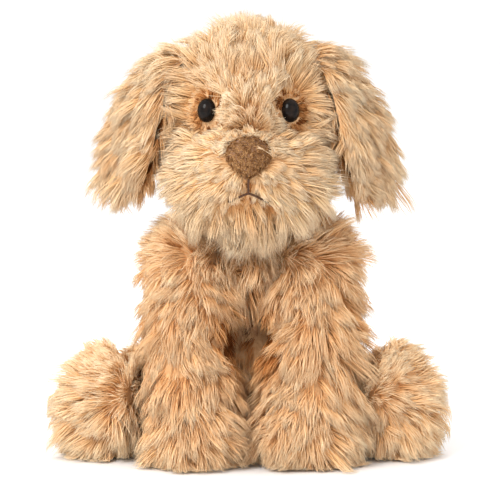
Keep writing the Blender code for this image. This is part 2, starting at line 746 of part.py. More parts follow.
# ---------------------------------------------------------------- front legs
def limb_pieces(prefix, body, s, outer, inner, core, split, mouth, pouch, sole_name, names):
    """Cover halves, sole, filling and pellet pouch of one limb. split and pouch are (point, normal)
    of the side seam and of the pouch's top; mouth is the plane at which the cover bag is open."""
    turn = (lambda m: m.copy()) if s > 0 else mirrored

    def plane(tag, point, normal, shift):
        n = Vector((normal[0] * s, normal[1], normal[2])).normalized()
        p = Vector((point[0] * s, point[1], point[2])) + n * shift
        return half_space("%s_%s" % (prefix, tag), p, n)

    past_mouth = plane("mouth", mouth[0], mouth[1], 0.0)
    minus = tuple(-v for v in split[1])
    for label, normal in zip(names, (split[1], minus)):
        half = piece("%s_%s_panel" % (prefix, label), shell(turn(outer), turn(inner)), body, "pile")
        boolean(half, plane("half_" + label, split[0], normal, SEAM), "INTERSECT")
        boolean(half, above_base, "INTERSECT")
        boolean(half, past_mouth, "INTERSECT")
    sole = piece(sole_name, turn(outer), body, "sole")
    boolean(sole, base_slab, "INTERSECT")
    minus = tuple(-v for v in pouch[1])
    bag = piece("%s_pellet_pouch" % prefix, turn(core), body, "pouch")
    boolean(bag, above_base, "INTERSECT")
    boolean(bag, plane("pouch", pouch[0], pouch[1], SEAM), "INTERSECT")
    stuffing = piece("%s_filling" % prefix, turn(core), body, "fibre")
    boolean(stuffing, above_base, "INTERSECT")
    boolean(stuffing, plane("stuffing", pouch[0], minus, SEAM), "INTERSECT")


for side, s in SIDES:
    limb_pieces(
        "front_leg_" + side,
        "front_leg_" + side,
        s,
        front,
        front_in,
        front_core,
        split=((31.3, -33.0, 60.0), (1.0, 0.0, 0.0)),
        mouth=((26.0, -5.0, 102.0), (0.62, -0.42, -0.66)),
        pouch=((0, 0, PAW_BEANS_TO), (0, 0, -1)),
        sole_name="front_paw_%s_sole" % side,
        names=("outer", "inner"),
    )

# ---------------------------------------------------------------- hind legs
for side, s in SIDES:
    limb_pieces(
        "hind_leg_" + side,
        "hind_leg_" + side,
        s,
        hind,
        hind_in,
        hind_core,
        split=((HIP[0], HIP[1], HIP[2]), (-HIND_DIR.y, HIND_DIR.x, 0.0)),
        mouth=((35.0, 20.0, 30.0), (0.86, -0.5, 0.1)),
        pouch=(
            (HIP[0] + HIND_DIR.x * FOOT_BEANS_ALONG, HIP[1] + HIND_DIR.y * FOOT_BEANS_ALONG, 0),
            tuple(HIND_DIR),
        ),
        sole_name="hind_foot_%s_heel_sole" % side,
        names=("outer", "inner"),
    )

# ---------------------------------------------------------------- tail
TAIL_LINE = (
    (0.0, TAIL[1], TAIL[2], TAIL_R, TAIL_R),
    (0.0, 66.0, 31.5, 10.5, 10.5),
    (0.0, 75.0, 40.0, 9.3, 9.3),
    (0.0, 79.0, 51.0, 8.0, 8.0),
)
tail, tail_in, tail_core = (
    limb_form("tail", 12, TAIL_LINE, TAIL_R, 7.5, (1, 0, 0), grow, 2)
    for grow in (0.0, 0.5 - COVER, 0.5 - COVER - GAP)
)
tail_mouth = half_space("tail_mouth", (0, 48.5, 24.0), (0, 0.86, 0.5))
for label, region in (("left", left_of_middle), ("right", right_of_middle)):
    half = piece("tail_%s_panel" % label, shell(tail, tail_in), "tail", "pile")
    boolean(half, region, "INTERSECT")
    boolean(half, tail_mouth, "INTERSECT")
piece("tail_filling", tail_core, "tail", "fibre")

# the helper forms that were only copied from leave nothing behind
for mesh in list(bpy.data.meshes):
    if mesh.users == 0:
        bpy.data.meshes.remove(mesh)
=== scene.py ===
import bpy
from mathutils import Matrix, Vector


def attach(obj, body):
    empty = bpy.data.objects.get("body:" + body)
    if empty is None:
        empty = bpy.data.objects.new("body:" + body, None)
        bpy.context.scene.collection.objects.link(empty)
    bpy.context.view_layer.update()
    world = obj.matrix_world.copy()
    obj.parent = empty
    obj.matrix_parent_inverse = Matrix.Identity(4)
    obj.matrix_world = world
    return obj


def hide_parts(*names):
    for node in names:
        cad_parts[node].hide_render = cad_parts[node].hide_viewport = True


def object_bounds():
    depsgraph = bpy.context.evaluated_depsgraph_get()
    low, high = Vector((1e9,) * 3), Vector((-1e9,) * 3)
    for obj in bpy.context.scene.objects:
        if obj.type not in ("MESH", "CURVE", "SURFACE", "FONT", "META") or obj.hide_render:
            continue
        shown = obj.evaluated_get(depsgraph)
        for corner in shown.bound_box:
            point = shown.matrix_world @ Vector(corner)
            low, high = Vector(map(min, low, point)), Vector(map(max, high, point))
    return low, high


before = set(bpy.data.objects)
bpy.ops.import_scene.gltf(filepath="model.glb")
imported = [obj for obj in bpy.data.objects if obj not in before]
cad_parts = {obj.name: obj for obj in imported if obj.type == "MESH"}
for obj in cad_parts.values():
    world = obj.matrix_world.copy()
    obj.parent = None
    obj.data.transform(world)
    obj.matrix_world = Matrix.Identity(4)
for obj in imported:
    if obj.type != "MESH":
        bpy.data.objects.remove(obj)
"""Looks for the seated plush puppy: long silky pile on every cover panel, a brushed velour nose,
glossy domed eyes, a thread mouth, and fibre, pellet pouches and backing cloth underneath."""

import math

import bpy
import numpy as np
from mathutils import Matrix, Vector, kdtree

MM = 0.001
Y0 = -7.6
cad_lo, cad_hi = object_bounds()
LO = np.array(cad_lo) / MM - [0, Y0, 0]
HI = np.array(cad_hi) / MM - [0, Y0, 0]
rng = np.random.default_rng(20)

# ------------------------------------------------------------------ camera, floor, light
TARGET = Vector((0.0008, -0.010, 0.1070))
ELEVATION = math.radians(7.0)
DISTANCE = 1.30
FIELD = 0.2715
cam_data = bpy.data.cameras.new("camera")
cam_data.sensor_width = 36.0
cam_data.lens = 36.0 * DISTANCE / FIELD
cam_data.clip_start, cam_data.clip_end = 0.01, 50.0
camera = bpy.data.objects.new("camera", cam_data)
bpy.context.scene.collection.objects.link(camera)
back = Vector((0.0, -math.cos(ELEVATION), math.sin(ELEVATION)))
camera.location = TARGET + back * DISTANCE
camera.rotation_mode = "QUATERNION"
camera.rotation_quaternion = (-back).to_track_quat("-Z", "Y")
bpy.context.scene.camera = camera
bpy.context.scene.view_settings.view_transform = "Standard"
bpy.context.scene.view_settings.look = "None"

world = bpy.data.worlds.new("studio")
bpy.context.scene.world = world
world.use_nodes = True
world.node_tree.nodes["Background"].inputs["Color"].default_value = (1.0, 0.965, 0.94, 1.0)
world.node_tree.nodes["Background"].inputs["Strength"].default_value = 1.13


def area_light(name, at, aim, size, power, colour=(1.0, 1.0, 1.0)):
    data = bpy.data.lights.new(name, "AREA")
    data.shape = "DISK"
    data.size = size
    data.energy = power
    data.color = colour
    obj = bpy.data.objects.new(name, data)
    bpy.context.scene.collection.objects.link(obj)
    obj.location = at
    obj.rotation_mode = "QUATERNION"
    obj.rotation_quaternion = (Vector(aim) - Vector(at)).to_track_quat("-Z", "Y")
    return obj


area_light("key", (-0.80, -0.95, 1.08), (0, 0, 0.12), 0.8, 19.5, (1.0, 0.98, 0.95))
area_light("fill", (0.95, -0.75, 0.55), (0, 0, 0.12), 0.9, 0.6)
area_light("rim", (0.25, 0.9, 0.9), (0, 0, 0.14), 0.6, 3.0)


# ------------------------------------------------------------------ node materials
def new_material(name):
    m = bpy.data.materials.new(name)
    m.use_nodes = True
    tree = m.node_tree
    shader = tree.nodes["Principled BSDF"]
    return m, tree, shader


def ramp(tree, stops):
    node = tree.nodes.new("ShaderNodeValToRGB")
    elements = node.color_ramp.elements
    while len(elements) < len(stops):
        elements.new(0.5)
    for e, (at, colour) in zip(elements, stops):
        e.position = at
        e.color = (*colour, 1.0)
    return node


def mix_colours(tree, factor, a, b, blend="MIX"):
    node = tree.nodes.new("ShaderNodeMix")
    node.data_type = "RGBA"
    node.blend_type = blend
    for socket, value in ((node.inputs[0], factor), (node.inputs[6], a), (node.inputs[7], b)):
        if isinstance(value, bpy.types.NodeSocket):
            tree.links.new(value, socket)
        else:
            socket.default_value = value
    return node.outputs[2]


def pile_material(name, dark, light, rough=0.6, sheen=0.0, specular=0.0):
    """Colour by the strand's tone (u), which holds both its own tone and painted shade, and by the place along it, root
    to tip (v).
    """
    m, tree, shader = new_material(name)
    uv = tree.nodes.new("ShaderNodeUVMap")
    uv.uv_map = "OFBake"
    parts = tree.nodes.new("ShaderNodeSeparateXYZ")
    tree.links.new(uv.outputs["UV"], parts.inputs[0])
    a, b = ramp(tree, dark), ramp(tree, light)
    tree.links.new(parts.outputs["Y"], a.inputs[0])
    tree.links.new(parts.outputs["Y"], b.inputs[0])
    colour = mix_colours(tree, parts.outputs["X"], a.outputs["Color"], b.outputs["Color"])
    tree.links.new(colour, shader.inputs["Base Color"])
    shader.inputs["Roughness"].default_value = rough
    shader.inputs["Sheen Weight"].default_value = sheen
    shader.inputs["Sheen Roughness"].default_value = 0.4
    shader.inputs["Specular IOR Level"].default_value = specular
    return m


def cloth_material(name, low, high, scale, bump, rough=0.9, weave=0.0, sheen=0.15):
    """Mottled cloth: noise for the colour, noise and optionally a woven wave for the relief."""
    m, tree, shader = new_material(name)
    where = tree.nodes.new("ShaderNodeTexCoord")
    noise = tree.nodes.new("ShaderNodeTexNoise")
    noise.inputs["Scale"].default_value = scale
    noise.inputs["Detail"].default_value = 6.0
    noise.inputs["Roughness"].default_value = 0.65
    tree.links.new(where.outputs["Object"], noise.inputs["Vector"])
    colours = ramp(tree, ((0.32, low), (0.68, high)))
    tree.links.new(noise.outputs["Fac"], colours.inputs[0])
    tree.links.new(colours.outputs["Color"], shader.inputs["Base Color"])
    height = noise.outputs["Fac"]
    if weave:
        waves = []
        for direction in ("X", "Z"):
            wave = tree.nodes.new("ShaderNodeTexWave")
            wave.wave_type = "BANDS"
            wave.bands_direction = direction
            wave.inputs["Scale"].default_value = weave
            wave.inputs["Distortion"].default_value = 0.6
            tree.links.new(where.outputs["Object"], wave.inputs["Vector"])
            waves.append(wave.outputs["Fac"])
        add = tree.nodes.new("ShaderNodeMath")
        add.operation = "ADD"
        tree.links.new(waves[0], add.inputs[0])
        tree.links.new(waves[1], add.inputs[1])
        height = add.outputs[0]
    relief = tree.nodes.new("ShaderNodeBump")
    relief.inputs["Strength"].default_value = bump
    relief.inputs["Distance"].default_value = 0.0004
    tree.links.new(height, relief.inputs["Height"])
    tree.links.new(relief.outputs["Normal"], shader.inputs["Normal"])
    shader.inputs["Roughness"].default_value = rough
    shader.inputs["Sheen Weight"].default_value = sheen
    return m


# The ramps run from dark roots to light tips: partly the fur's own tone, partly painted shade deep in the pile. Their
# darkest root-end stops are painted shade; strands whose tone drops below zero keep only these (eye rings, the hollow,
# the gap between the legs).
BODY_DARK = ((0.0, (0.15, 0.046, 0.013)), (0.13, (0.50, 0.18, 0.048)), (0.43, (0.72, 0.35, 0.13)), (1.0, (0.87, 0.55, 0.28)))
BODY_LIGHT = ((0.0, (0.40, 0.16, 0.05)), (0.13, (0.76, 0.37, 0.135)), (0.43, (0.93, 0.60, 0.305)), (1.0, (0.98, 0.83, 0.60)))
FACE_DARK = ((0.0, (0.16, 0.050, 0.015)), (0.13, (0.53, 0.22, 0.070)), (0.43, (0.73, 0.405, 0.175)), (1.0, (0.82, 0.56, 0.32)))
FACE_LIGHT = ((0.0, (0.40, 0.17, 0.055)), (0.13, (0.72, 0.385, 0.15)), (0.43, (0.86, 0.62, 0.355)), (1.0, (0.92, 0.80, 0.61)))
pile_body = pile_material("pile_body", BODY_DARK, BODY_LIGHT)
pile_face = pile_material("pile_face", FACE_DARK, FACE_LIGHT)
velour = pile_material(
    "velour_nap",
    ((0.0, (0.07, 0.024, 0.007)), (0.5, (0.14, 0.052, 0.015)), (1.0, (0.21, 0.084, 0.027))),
    ((0.0, (0.15, 0.055, 0.015)), (0.5, (0.36, 0.165, 0.055)), (1.0, (0.86, 0.54, 0.26))),
    rough=0.8,
    sheen=0.05,
)
# The backing cloth is coloured a warm brown darker than the pile: painted shade for the gaps between strands.
backing = cloth_material("pile_backing", (0.50, 0.26, 0.11), (0.68, 0.42, 0.21), 420.0, 1.0, sheen=0.0)
face_backing = cloth_material("face_pile_backing", (0.54, 0.29, 0.13), (0.74, 0.48, 0.26), 420.0, 1.0, sheen=0.0)
nose_cloth = cloth_material("velour_ground", (0.16, 0.08, 0.04), (0.30, 0.16, 0.085), 1400.0, 0.7)
sole_cloth = cloth_material("sole_cloth", (0.50, 0.33, 0.18), (0.68, 0.49, 0.29), 700.0, 0.6, weave=1100.0)
fibre = cloth_material("polyester_fibre", (0.78, 0.77, 0.72), (0.93, 0.92, 0.89), 260.0, 1.0, rough=0.95)
pouch = cloth_material("pouch_weave", (0.70, 0.68, 0.62), (0.84, 0.82, 0.77), 240.0, 0.8, weave=900.0)
ribbon = cloth_material("label_ribbon", (0.80, 0.79, 0.76), (0.90, 0.89, 0.87), 500.0, 0.4, rough=0.45, weave=2200.0)
thread_dark = cloth_material("mouth_thread", (0.075, 0.026, 0.010), (0.20, 0.085, 0.035), 1800.0, 0.9, rough=0.7, weave=1500.0, sheen=0.0)
thread_tan = cloth_material("seam_thread", (0.55, 0.40, 0.22), (0.72, 0.55, 0.34), 1500.0, 0.7, rough=0.65, weave=1500.0)
washer_plastic = cloth_material("washer_plastic", (0.74, 0.74, 0.72), (0.84, 0.84, 0.82), 350.0, 0.15, rough=0.4, sheen=0.0)

eye_glass, tree, shader = new_material("eye_gloss")
where = tree.nodes.new("ShaderNodeTexCoord")
speck = tree.nodes.new("ShaderNodeTexNoise")
speck.inputs["Scale"].default_value = 420.0
speck.inputs["Detail"].default_value = 4.0
tree.links.new(where.outputs["Object"], speck.inputs["Vector"])
tint = ramp(tree, ((0.35, (0.004, 0.0035, 0.0035)), (0.75, (0.018, 0.011, 0.008))))
tree.links.new(speck.outputs["Fac"], tint.inputs[0])
tree.links.new(tint.outputs["Color"], shader.inputs["Base Color"])
handled = tree.nodes.new("ShaderNodeMapRange")
handled.inputs["To Min"].default_value = 0.10
handled.inputs["To Max"].default_value = 0.20
tree.links.new(speck.outputs["Fac"], handled.inputs["Value"])
tree.links.new(handled.outputs["Result"], shader.inputs["Roughness"])
shader.inputs["Specular IOR Level"].default_value = 0.12

# floor: a pale sweep
floor_mat, tree, shader = new_material("pale_floor")
where = tree.nodes.new("ShaderNodeTexCoord")
paper = tree.nodes.new("ShaderNodeTexNoise")
paper.inputs["Scale"].default_value = 30.0
tree.links.new(where.outputs["Object"], paper.inputs["Vector"])
tone = ramp(tree, ((0.3, (0.93, 0.935, 0.945)), (0.7, (0.95, 0.955, 0.965))))
tree.links.new(paper.outputs["Fac"], tone.inputs[0])
tree.links.new(tone.outputs["Color"], shader.inputs["Base Color"])
shader.inputs["Roughness"].default_value = 0.55
floor_mesh = bpy.data.meshes.new("floor")
floor_mesh.from_pydata([(-6, -6, 0), (6, -6, 0), (6, 6, 0), (-6, 6, 0)], [], [(0, 1, 2, 3)])
floor_mesh.materials.append(floor_mat)
floor = bpy.data.objects.new("floor", floor_mesh)
bpy.context.scene.collection.objects.link(floor)
floor.location.z = -0.0004


# ------------------------------------------------------------------ small vector helpers
def unit(a):
    return a / np.maximum(np.linalg.norm(a, axis=-1, keepdims=True), 1e-9)


def smooth(lo, hi, x):
    t = np.clip((x - lo) / (hi - lo), 0.0, 1.0)
    return t * t * (3 - 2 * t)


def tangent(v, n):
    v = np.broadcast_to(np.asarray(v, float), n.shape)
    return unit(v - n * np.sum(v * n, axis=1, keepdims=True))


def mixed(a, b, w):
    return a * (1 - w)[:, None] + b * w[:, None]


def catmull(points, t):
    p = [np.array(q, float) for q in points]
    p = [2 * p[0] - p[1], *p, 2 * p[-1] - p[-2]]
    i = min(int(t), len(points) - 2)
    f = t - i
    a, b, c, d = p[i : i + 4]
    return 0.5 * (
        2 * b + (c - a) * f + (2 * a - 5 * b + 4 * c - d) * f**2 + (3 * b - 3 * c + d - a) * f**3
    )


# ------------------------------------------------------------------ the forms, as the covers lie
TORSO_C = np.array([0.0, 12.0])
TORSO_ROWS = (
    (-3.5, 30.0, 26.0, 30.0),
    (4.0, 39.0, 34.0, 39.0),
    (18.0, 43.0, 36.5, 43.0),
    (36.0, 44.0, 33.0, 43.5),
    (56.0, 42.5, 28.0, 41.5),
    (76.0, 40.0, 23.0, 38.0),
    (96.0, 37.0, 21.0, 33.0),
    (110.0, 31.5, 18.5, 27.5),
    (120.0, 20.0, 12.5, 17.0),
    (124.0, 4.0, 3.0, 4.0),
)
NECK = np.array([0.0, 6.0, 126.0])
NECK_R = 23.0
SKULL_C = np.array([0.0, 1.0, 179.0])
SKULL_R = np.array([40.0, 42.0, 45.0])
MUZZLE_C = np.array([0.0, -35.0, 150.5])
MUZZLE_R = np.array([35.5, 30.0, 25.0])
MOUTH_Z = 144.5
NOSE_Z = 162.5
EYES = {}
EAR_LINE = (
    (34.2, 1.0, 209.0, 14.0),
    (43.2, -1.0, 203.5, 15.5),
    (52.5, -4.5, 191.0, 18.5),
    (59.0, -8.0, 174.5, 20.0),
    (62.5, -10.0, 158.5, 18.5),
    (64.0, -11.0, 149.0, 14.5),
)
EAR_TWIST = (8.0, 18.0, 28.0, 34.0, 38.0, 40.0)
SHOULDER = np.array([31.0, -8.0, 98.0])
FRONT_LINE = (
    (31.0, -8.0, 98.0, 19.0, 19.0),
    (31.5, -24.0, 73.0, 18.6, 18.6),
    (31.5, -37.0, 48.0, 17.8, 17.8),
    (30.5, -45.5, 27.0, 18.8, 19.0),
    (29.5, -51.5, 12.0, 21.0, 20.5),
)
HIP = np.array([41.0, 20.0, 30.0])
HIND_LINE = (
    (41.0, 20.0, 30.0, 24.0, 24.0),
    (55.0, 4.5, 25.0, 18.5, 21.5),
    (67.0, -10.5, 22.5, 15.5, 23.0),
    (75.0, -22.5, 24.5, 16.5, 27.0),
    (80.0, -31.0, 26.5, 17.0, 29.0),
)
HIND_DIR = unit(np.array([39.0, -51.0, 0.0]))
TAIL = np.array([0.0, 54.0, 27.0])
TAIL_LINE = (
    (0.0, 54.0, 27.0, 12.0, 12.0),
    (0.0, 66.0, 31.5, 10.5, 10.5),
    (0.0, 75.0, 40.0, 9.3, 9.3),
    (0.0, 79.0, 51.0, 8.0, 8.0),
)


def grid(rings, sides):
    """Quads over a stack of closed rings, each (sides, 3). Returns points and faces."""
    m = len(rings)
    v = np.concatenate(rings)
    i, j = np.meshgrid(np.arange(m - 1), np.arange(sides), indexing="ij")
    k = (j + 1) % sides
    f = np.stack([i * sides + j, i * sides + k, (i + 1) * sides + k, (i + 1) * sides + j], -1).reshape(-1, 4)
    return v, f


def ring(centre, side, up, a, b, sides):
    phi = np.linspace(0, 2 * math.pi, sides, endpoint=False)[:, None]
    return np.asarray(centre) + np.asarray(side) * (a * np.cos(phi)) + np.asarray(up) * (b * np.sin(phi))


def form(v, f):
    """Points, triangles, point normals and triangle areas, with the normals facing out."""
    tri = np.concatenate([f[:, [0, 1, 2]], f[:, [0, 2, 3]]])
    a, b, c = v[tri[:, 0]], v[tri[:, 1]], v[tri[:, 2]]
    n = np.cross(b - a, c - a)
    if np.sum(np.sum(a * n, axis=1)) < 0:
        tri, n = tri[:, [0, 2, 1]], -n
        f = f[:, ::-1]
    area = np.linalg.norm(n, axis=1) / 2
    vn = np.zeros_like(v)
    for k in range(3):
        np.add.at(vn, tri[:, k], n)
    return {"v": v, "f": f, "tri": tri, "n": unit(vn), "area": area}


def ellipsoid(centre, radii, sides=72, rings=44):
    out = []
    for k in range(rings + 1):
        th = math.pi * (k + 0.0) / rings
        th = min(max(th, 0.004), math.pi - 0.004)
        out.append(
            ring(
                (centre[0], centre[1], centre[2] + radii[2] * math.cos(th)),
                (1, 0, 0),
                (0, 1, 0),
                radii[0] * math.sin(th),
                radii[1] * math.sin(th),
                sides,
            )
        )
    return form(*grid(out, sides))


def limb(line, cap_start, cap_end, up, steps=6, caps=8, sides=40, flip=False):
    count = steps * (len(line) - 1) + 1
    data = [catmull(line, i / steps) for i in range(count)]
    centres = [d[:3] for d in data]
    frames = []
    for i in range(count):
        along = unit(centres[min(i + 1, count - 1)] - centres[max(i - 1, 0)])
        side = unit(np.cross(along, up))
        frames.append((along, side, unit(np.cross(side, along))))
    rings = []
    al, s, u = frames[0]
    a, b = data[0][3:5]
    for k in range(1, caps + 1):
        g = math.pi / 2 * (k - 0.6) / caps
        rings.append(ring(centres[0] - al * (cap_start * math.cos(g)), s, u, a * math.sin(g), b * math.sin(g), sides))
    for (al, s, u), c, d in zip(frames, centres, data):
        rings.append(ring(c, s, u, d[3], d[4], sides))
    a, b = data[-1][3:5]
    al, s, u = frames[-1]
    for k in range(caps, 0, -1):
        g = math.pi / 2 * (k - 0.6) / caps
        rings.append(ring(centres[-1] + al * (cap_end * math.cos(g)), s, u, a * math.sin(g), b * math.sin(g), sides))
    v, f = grid(rings, sides)
    if flip:
        v = v * [-1, 1, 1]
    return form(v, f)


def torso_row(z):
    """Half width, reach ahead and reach behind of the torso at heights z."""
    rows = np.array(TORSO_ROWS)
    return tuple(np.interp(z, rows[:, 0], rows[:, k]) for k in (1, 2, 3))


def inside_torso(p, margin=0.0):
    a, ahead, behind = torso_row(p[:, 2])
    mid, half = TORSO_C[1] + (behind - ahead) / 2, (ahead + behind) / 2
    q = (p[:, 0] / np.maximum(a - margin, 1.0)) ** 2 + ((p[:, 1] - mid) / np.maximum(half - margin, 1.0)) ** 2
    return (q < 1) & (p[:, 2] < 123.0 - margin)


def torso_form():
    sides, rings = 72, []
    count = 6 * (len(TORSO_ROWS) - 1) + 1
    for i in range(count):
        z, a, ahead, behind = catmull(TORSO_ROWS, i / 6)
        z = max(z, 0.3 + 0.001 * i)
        rings.append(
            ring((0, TORSO_C[1] + (behind - ahead) / 2, z), (1, 0, 0), (0, 1, 0), max(a, 1.5), max((ahead + behind) / 2, 1.5), sides)
        )
    v, f = grid(rings, sides)
    ruff = np.exp(-((v[:, 0] / 13.0) ** 2)) * smooth(80, 92, v[:, 2]) * smooth(123, 112, v[:, 2]) * smooth(6, -4, v[:, 1])
    v[:, 1] -= 12.0 * ruff
    return form(v, f)


def sunk(p):
    """0 outside the torso to 1 at 10 mm inside it."""
    return 0.5 * inside_torso(p, 1.0) + 0.5 * inside_torso(p, 6.0)


def inside_ellipsoid(p, centre, radii, grow=0.0):
    return np.sum(((p - centre) / (radii + grow)) ** 2, axis=1) < 1


def inside_ball(p, centre, r):
    return np.sum((p - centre) ** 2, axis=1) < r * r


def on_ellipsoid(centre, radii, x, z, lift=0.0):
    y = centre[1] - radii[1] * math.sqrt(max(0.0, 1 - ((x - centre[0]) / radii[0]) ** 2 - ((z - centre[2]) / radii[2]) ** 2))
    n = unit(np.array([(x - centre[0]) / radii[0] ** 2, (y - centre[1]) / radii[1] ** 2, (z - centre[2]) / radii[2] ** 2]))
    return np.array([x, y, z]) + n * lift, n


for side, s in (("left", 1.0), ("right", -1.0)):
    EYES[side] = on_ellipsoid(SKULL_C, SKULL_R, s * 21.4, 184.8)
NOSE_AT, NOSE_N = on_ellipsoid(MUZZLE_C, MUZZLE_R, 0.0, NOSE_Z)
NOSE_UP = unit(np.array([0, 0, 1.0]) - NOSE_N * NOSE_N[2])


# ------------------------------------------------------------------ strands
def sample(frm, count, keep, density=None, seed=0):
    """count roots on the form where keep(p) holds, spread by area and by density(p)."""
    r = np.random.default_rng(seed)
    found_p, found_n, have = [], [], 0
    prob = frm["area"] / frm["area"].sum()
    for _ in range(60):
        pick = r.choice(len(prob), size=count * 2, p=prob)
        u, w = r.random(len(pick)), r.random(len(pick))
        over = u + w > 1
        u[over], w[over] = 1 - u[over], 1 - w[over]
        t = frm["tri"][pick]
        bary = (1 - u - w, u, w)
        p = sum(frm["v"][t[:, k]] * bary[k][:, None] for k in range(3))
        n = unit(sum(frm["n"][t[:, k]] * bary[k][:, None] for k in range(3)))
        ok = keep(p, n)
        if density is not None:
            ok &= r.random(len(p)) < density(p)
        found_p.append(p[ok])
        found_n.append(n[ok])
        have += int(ok.sum())
        if have >= count:
            break
    return np.concatenate(found_p)[:count], np.concatenate(found_n)[:count]


TS = (0.0, 0.38, 0.72, 1.0)


def paths(p, n, comb, length, lift, droop):
    """Points along strands rooted at p: they start between the normal and the comb direction, and bend over."""
    lift = lift[:, None]
    d0 = unit(comb * (1 - lift) + n * lift)
    d1 = unit(comb * (1 - 0.45 * lift) + n * 0.45 * lift + np.array([0, 0, -1.0]) * droop[:, None])
    return np.stack([p + length[:, None] * (d0 * (t - t * t / 2) + d1 * (t * t / 2)) for t in TS], axis=1)


def pile(p, n, field, seed, per_lock=22, clump=0.72, spread=0.26, swing=0.26, radius=0.22, frizz=0.8, root=1.0, tilt=0.10, bend=2.6):
    """Strands in locks. field(p, n) gives comb, length, lift, droop and shade, each per root."""
    r = np.random.default_rng(seed)
    count = len(p)
    locks = max(1, count // per_lock)
    heads = r.choice(count, size=locks, replace=False)
    tree = kdtree.KDTree(locks)
    for i, h in enumerate(heads):
        tree.insert(p[h], i)
    tree.balance()
    own = np.array([tree.find(q)[1] for q in p])
    comb, length, lift, droop, shade = field(p, n)
    comb = unit(comb)

    def turned(c, nn, angle):
        return c * np.cos(angle)[:, None] + np.cross(nn, c) * np.sin(angle)[:, None]

    lock_turn = r.normal(0, swing, locks)
    lock_len = r.uniform(0.70, 1.16, locks)
    lock_len[r.random(locks) < 0.09] *= 1.28
    lock_lift = r.normal(0, tilt, locks)
    lock_shade = r.normal(0, 0.10, locks)
    lock_bend = r.normal(0, bend, locks)
    guide_p, guide_n = p[heads] - n[heads] * root, n[heads]
    guide = paths(
        guide_p,
        guide_n,
        turned(comb[heads], guide_n, lock_turn),
        length[heads] * lock_len,
        np.clip(lift[heads] + lock_lift, 0.05, 0.95),
        droop[heads],
    )
    start = p - n * root
    mine = paths(
        start,
        n,
        turned(comb, n, lock_turn[own] + r.normal(0, 0.16, count)),
        length * lock_len[own] * r.uniform(0.78, 1.10, count),
        np.clip(lift + lock_lift[own] + r.normal(0, 0.06, count), 0.03, 0.97),
        droop,
    )
    offset = start - guide_p[own]
    hold = clump * r.uniform(0.6, 1.0, count)
    stray = r.random(count) < 0.10
    hold[stray] *= 0.2
    for k, t in enumerate(TS):
        w = (hold * t**1.1)[:, None]
        close = 1 - (1 - spread) * t
        mine[:, k] = mine[:, k] * (1 - w) + (guide[own, k] + offset * close) * w
    sideways = np.cross(guide_n, unit(guide[:, -1] - guide[:, 0]))[own]
    wob = unit(np.cross(mine[:, -1] - mine[:, 0], r.normal(size=(count, 3))))
    phase, freq = r.random(count) * 6.283, r.uniform(0.5, 1.3, count)
    for k, t in enumerate(TS[1:], 1):
        mine[:, k] += wob * (frizz * t * np.sin(6.283 * freq * t + phase))[:, None]
        mine[:, k] += sideways * (lock_bend[own] * t * t * (length / 20.0))[:, None]
    tone = shade + lock_shade[own] + r.normal(0, 0.09, count)
    # A tone below zero is painted shade: such strands are held to the dark root end of the ramps.
    reach = np.clip(1.0 + 1.7 * np.minimum(tone, 0.0), 0.0, 1.0)
    tone = np.clip(tone, 0.03, 0.97)
    return {"path": mine, "tone": tone, "reach": reach, "radius": radius * r.uniform(0.75, 1.25, count), "seed": seed}


def keep_in(path):
    """Strands lie down on the floor and stay in the space around the solids."""
    r = np.random.default_rng(5)
    low = 0.5 + 1.3 * r.random(path.shape[:2])
    path[..., 2] = np.where(path[..., 2] < low, low, path[..., 2])
    reach = np.array([13.0, 13.6, 15.9])
    for axis in range(3):
        hi, lo = HI[axis] + reach[axis], LO[axis] - reach[axis]
        soft = 3.5
        over = path[..., axis] - (hi - soft)
        path[..., axis] = np.where(over > 0, hi - soft + soft * np.tanh(over / soft), path[..., axis])
        if axis < 2:
            over = (lo + soft) - path[..., axis]
            path[..., axis] = np.where(over > 0, lo + soft - soft * np.tanh(over / soft), path[..., axis])
    return path


def strand_mesh(s):
    """Three-sided tapering strands: points, quads, tip triangles and their map places."""
    path = keep_in(s["path"])
    count = len(path)
    r = np.random.default_rng(s["seed"] + 1)
    chord = unit(path[:, -1] - path[:, 0])
    side = unit(np.cross(chord, r.normal(size=(count, 3))))
    other = np.cross(chord, side)
    rings = len(TS) - 1
    widths = (1.0, 1.0, 0.72)
    verts = np.empty((count, rings * 3 + 1, 3))
    for k in range(rings):
        for j in range(3):
            a = 2.0944 * j
            verts[:, k * 3 + j] = path[:, k] + (side * math.cos(a) + other * math.sin(a)) * (s["radius"] * widths[k])[:, None]
    verts[:, -1] = path[:, -1]
    base = (np.arange(count) * (rings * 3 + 1))[:, None]
    quads, quad_uv, tips, tip_uv = [], [], [], []
    du = (-0.004, 0.0, 0.004)
    tone = s["tone"]

    def place(j, k):
        t = TS[k]
        return np.stack([tone + du[j], 0.01 + 0.98 * t * s["reach"]], axis=1)

    for k in range(rings - 1):
        for j in range(3):
            m = (j + 1) % 3
            quads.append(base + np.array([k * 3 + j, k * 3 + m, (k + 1) * 3 + m, (k + 1) * 3 + j]))
            quad_uv.append(np.stack([place(j, k), place(m, k), place(m, k + 1), place(j, k + 1)], axis=1))
    k = rings - 1
    for j in range(3):
        m = (j + 1) % 3
        tips.append(base + np.array([k * 3 + j, k * 3 + m, rings * 3]))
        tip_uv.append(np.stack([place(j, k), place(m, k), np.stack([tone, 0.01 + 0.985 * s["reach"]], axis=1)], axis=1))
    return (
        verts.reshape(-1, 3),
        np.concatenate(quads),
        np.concatenate(quad_uv),
        np.concatenate(tips),
        np.concatenate(tip_uv),
    )


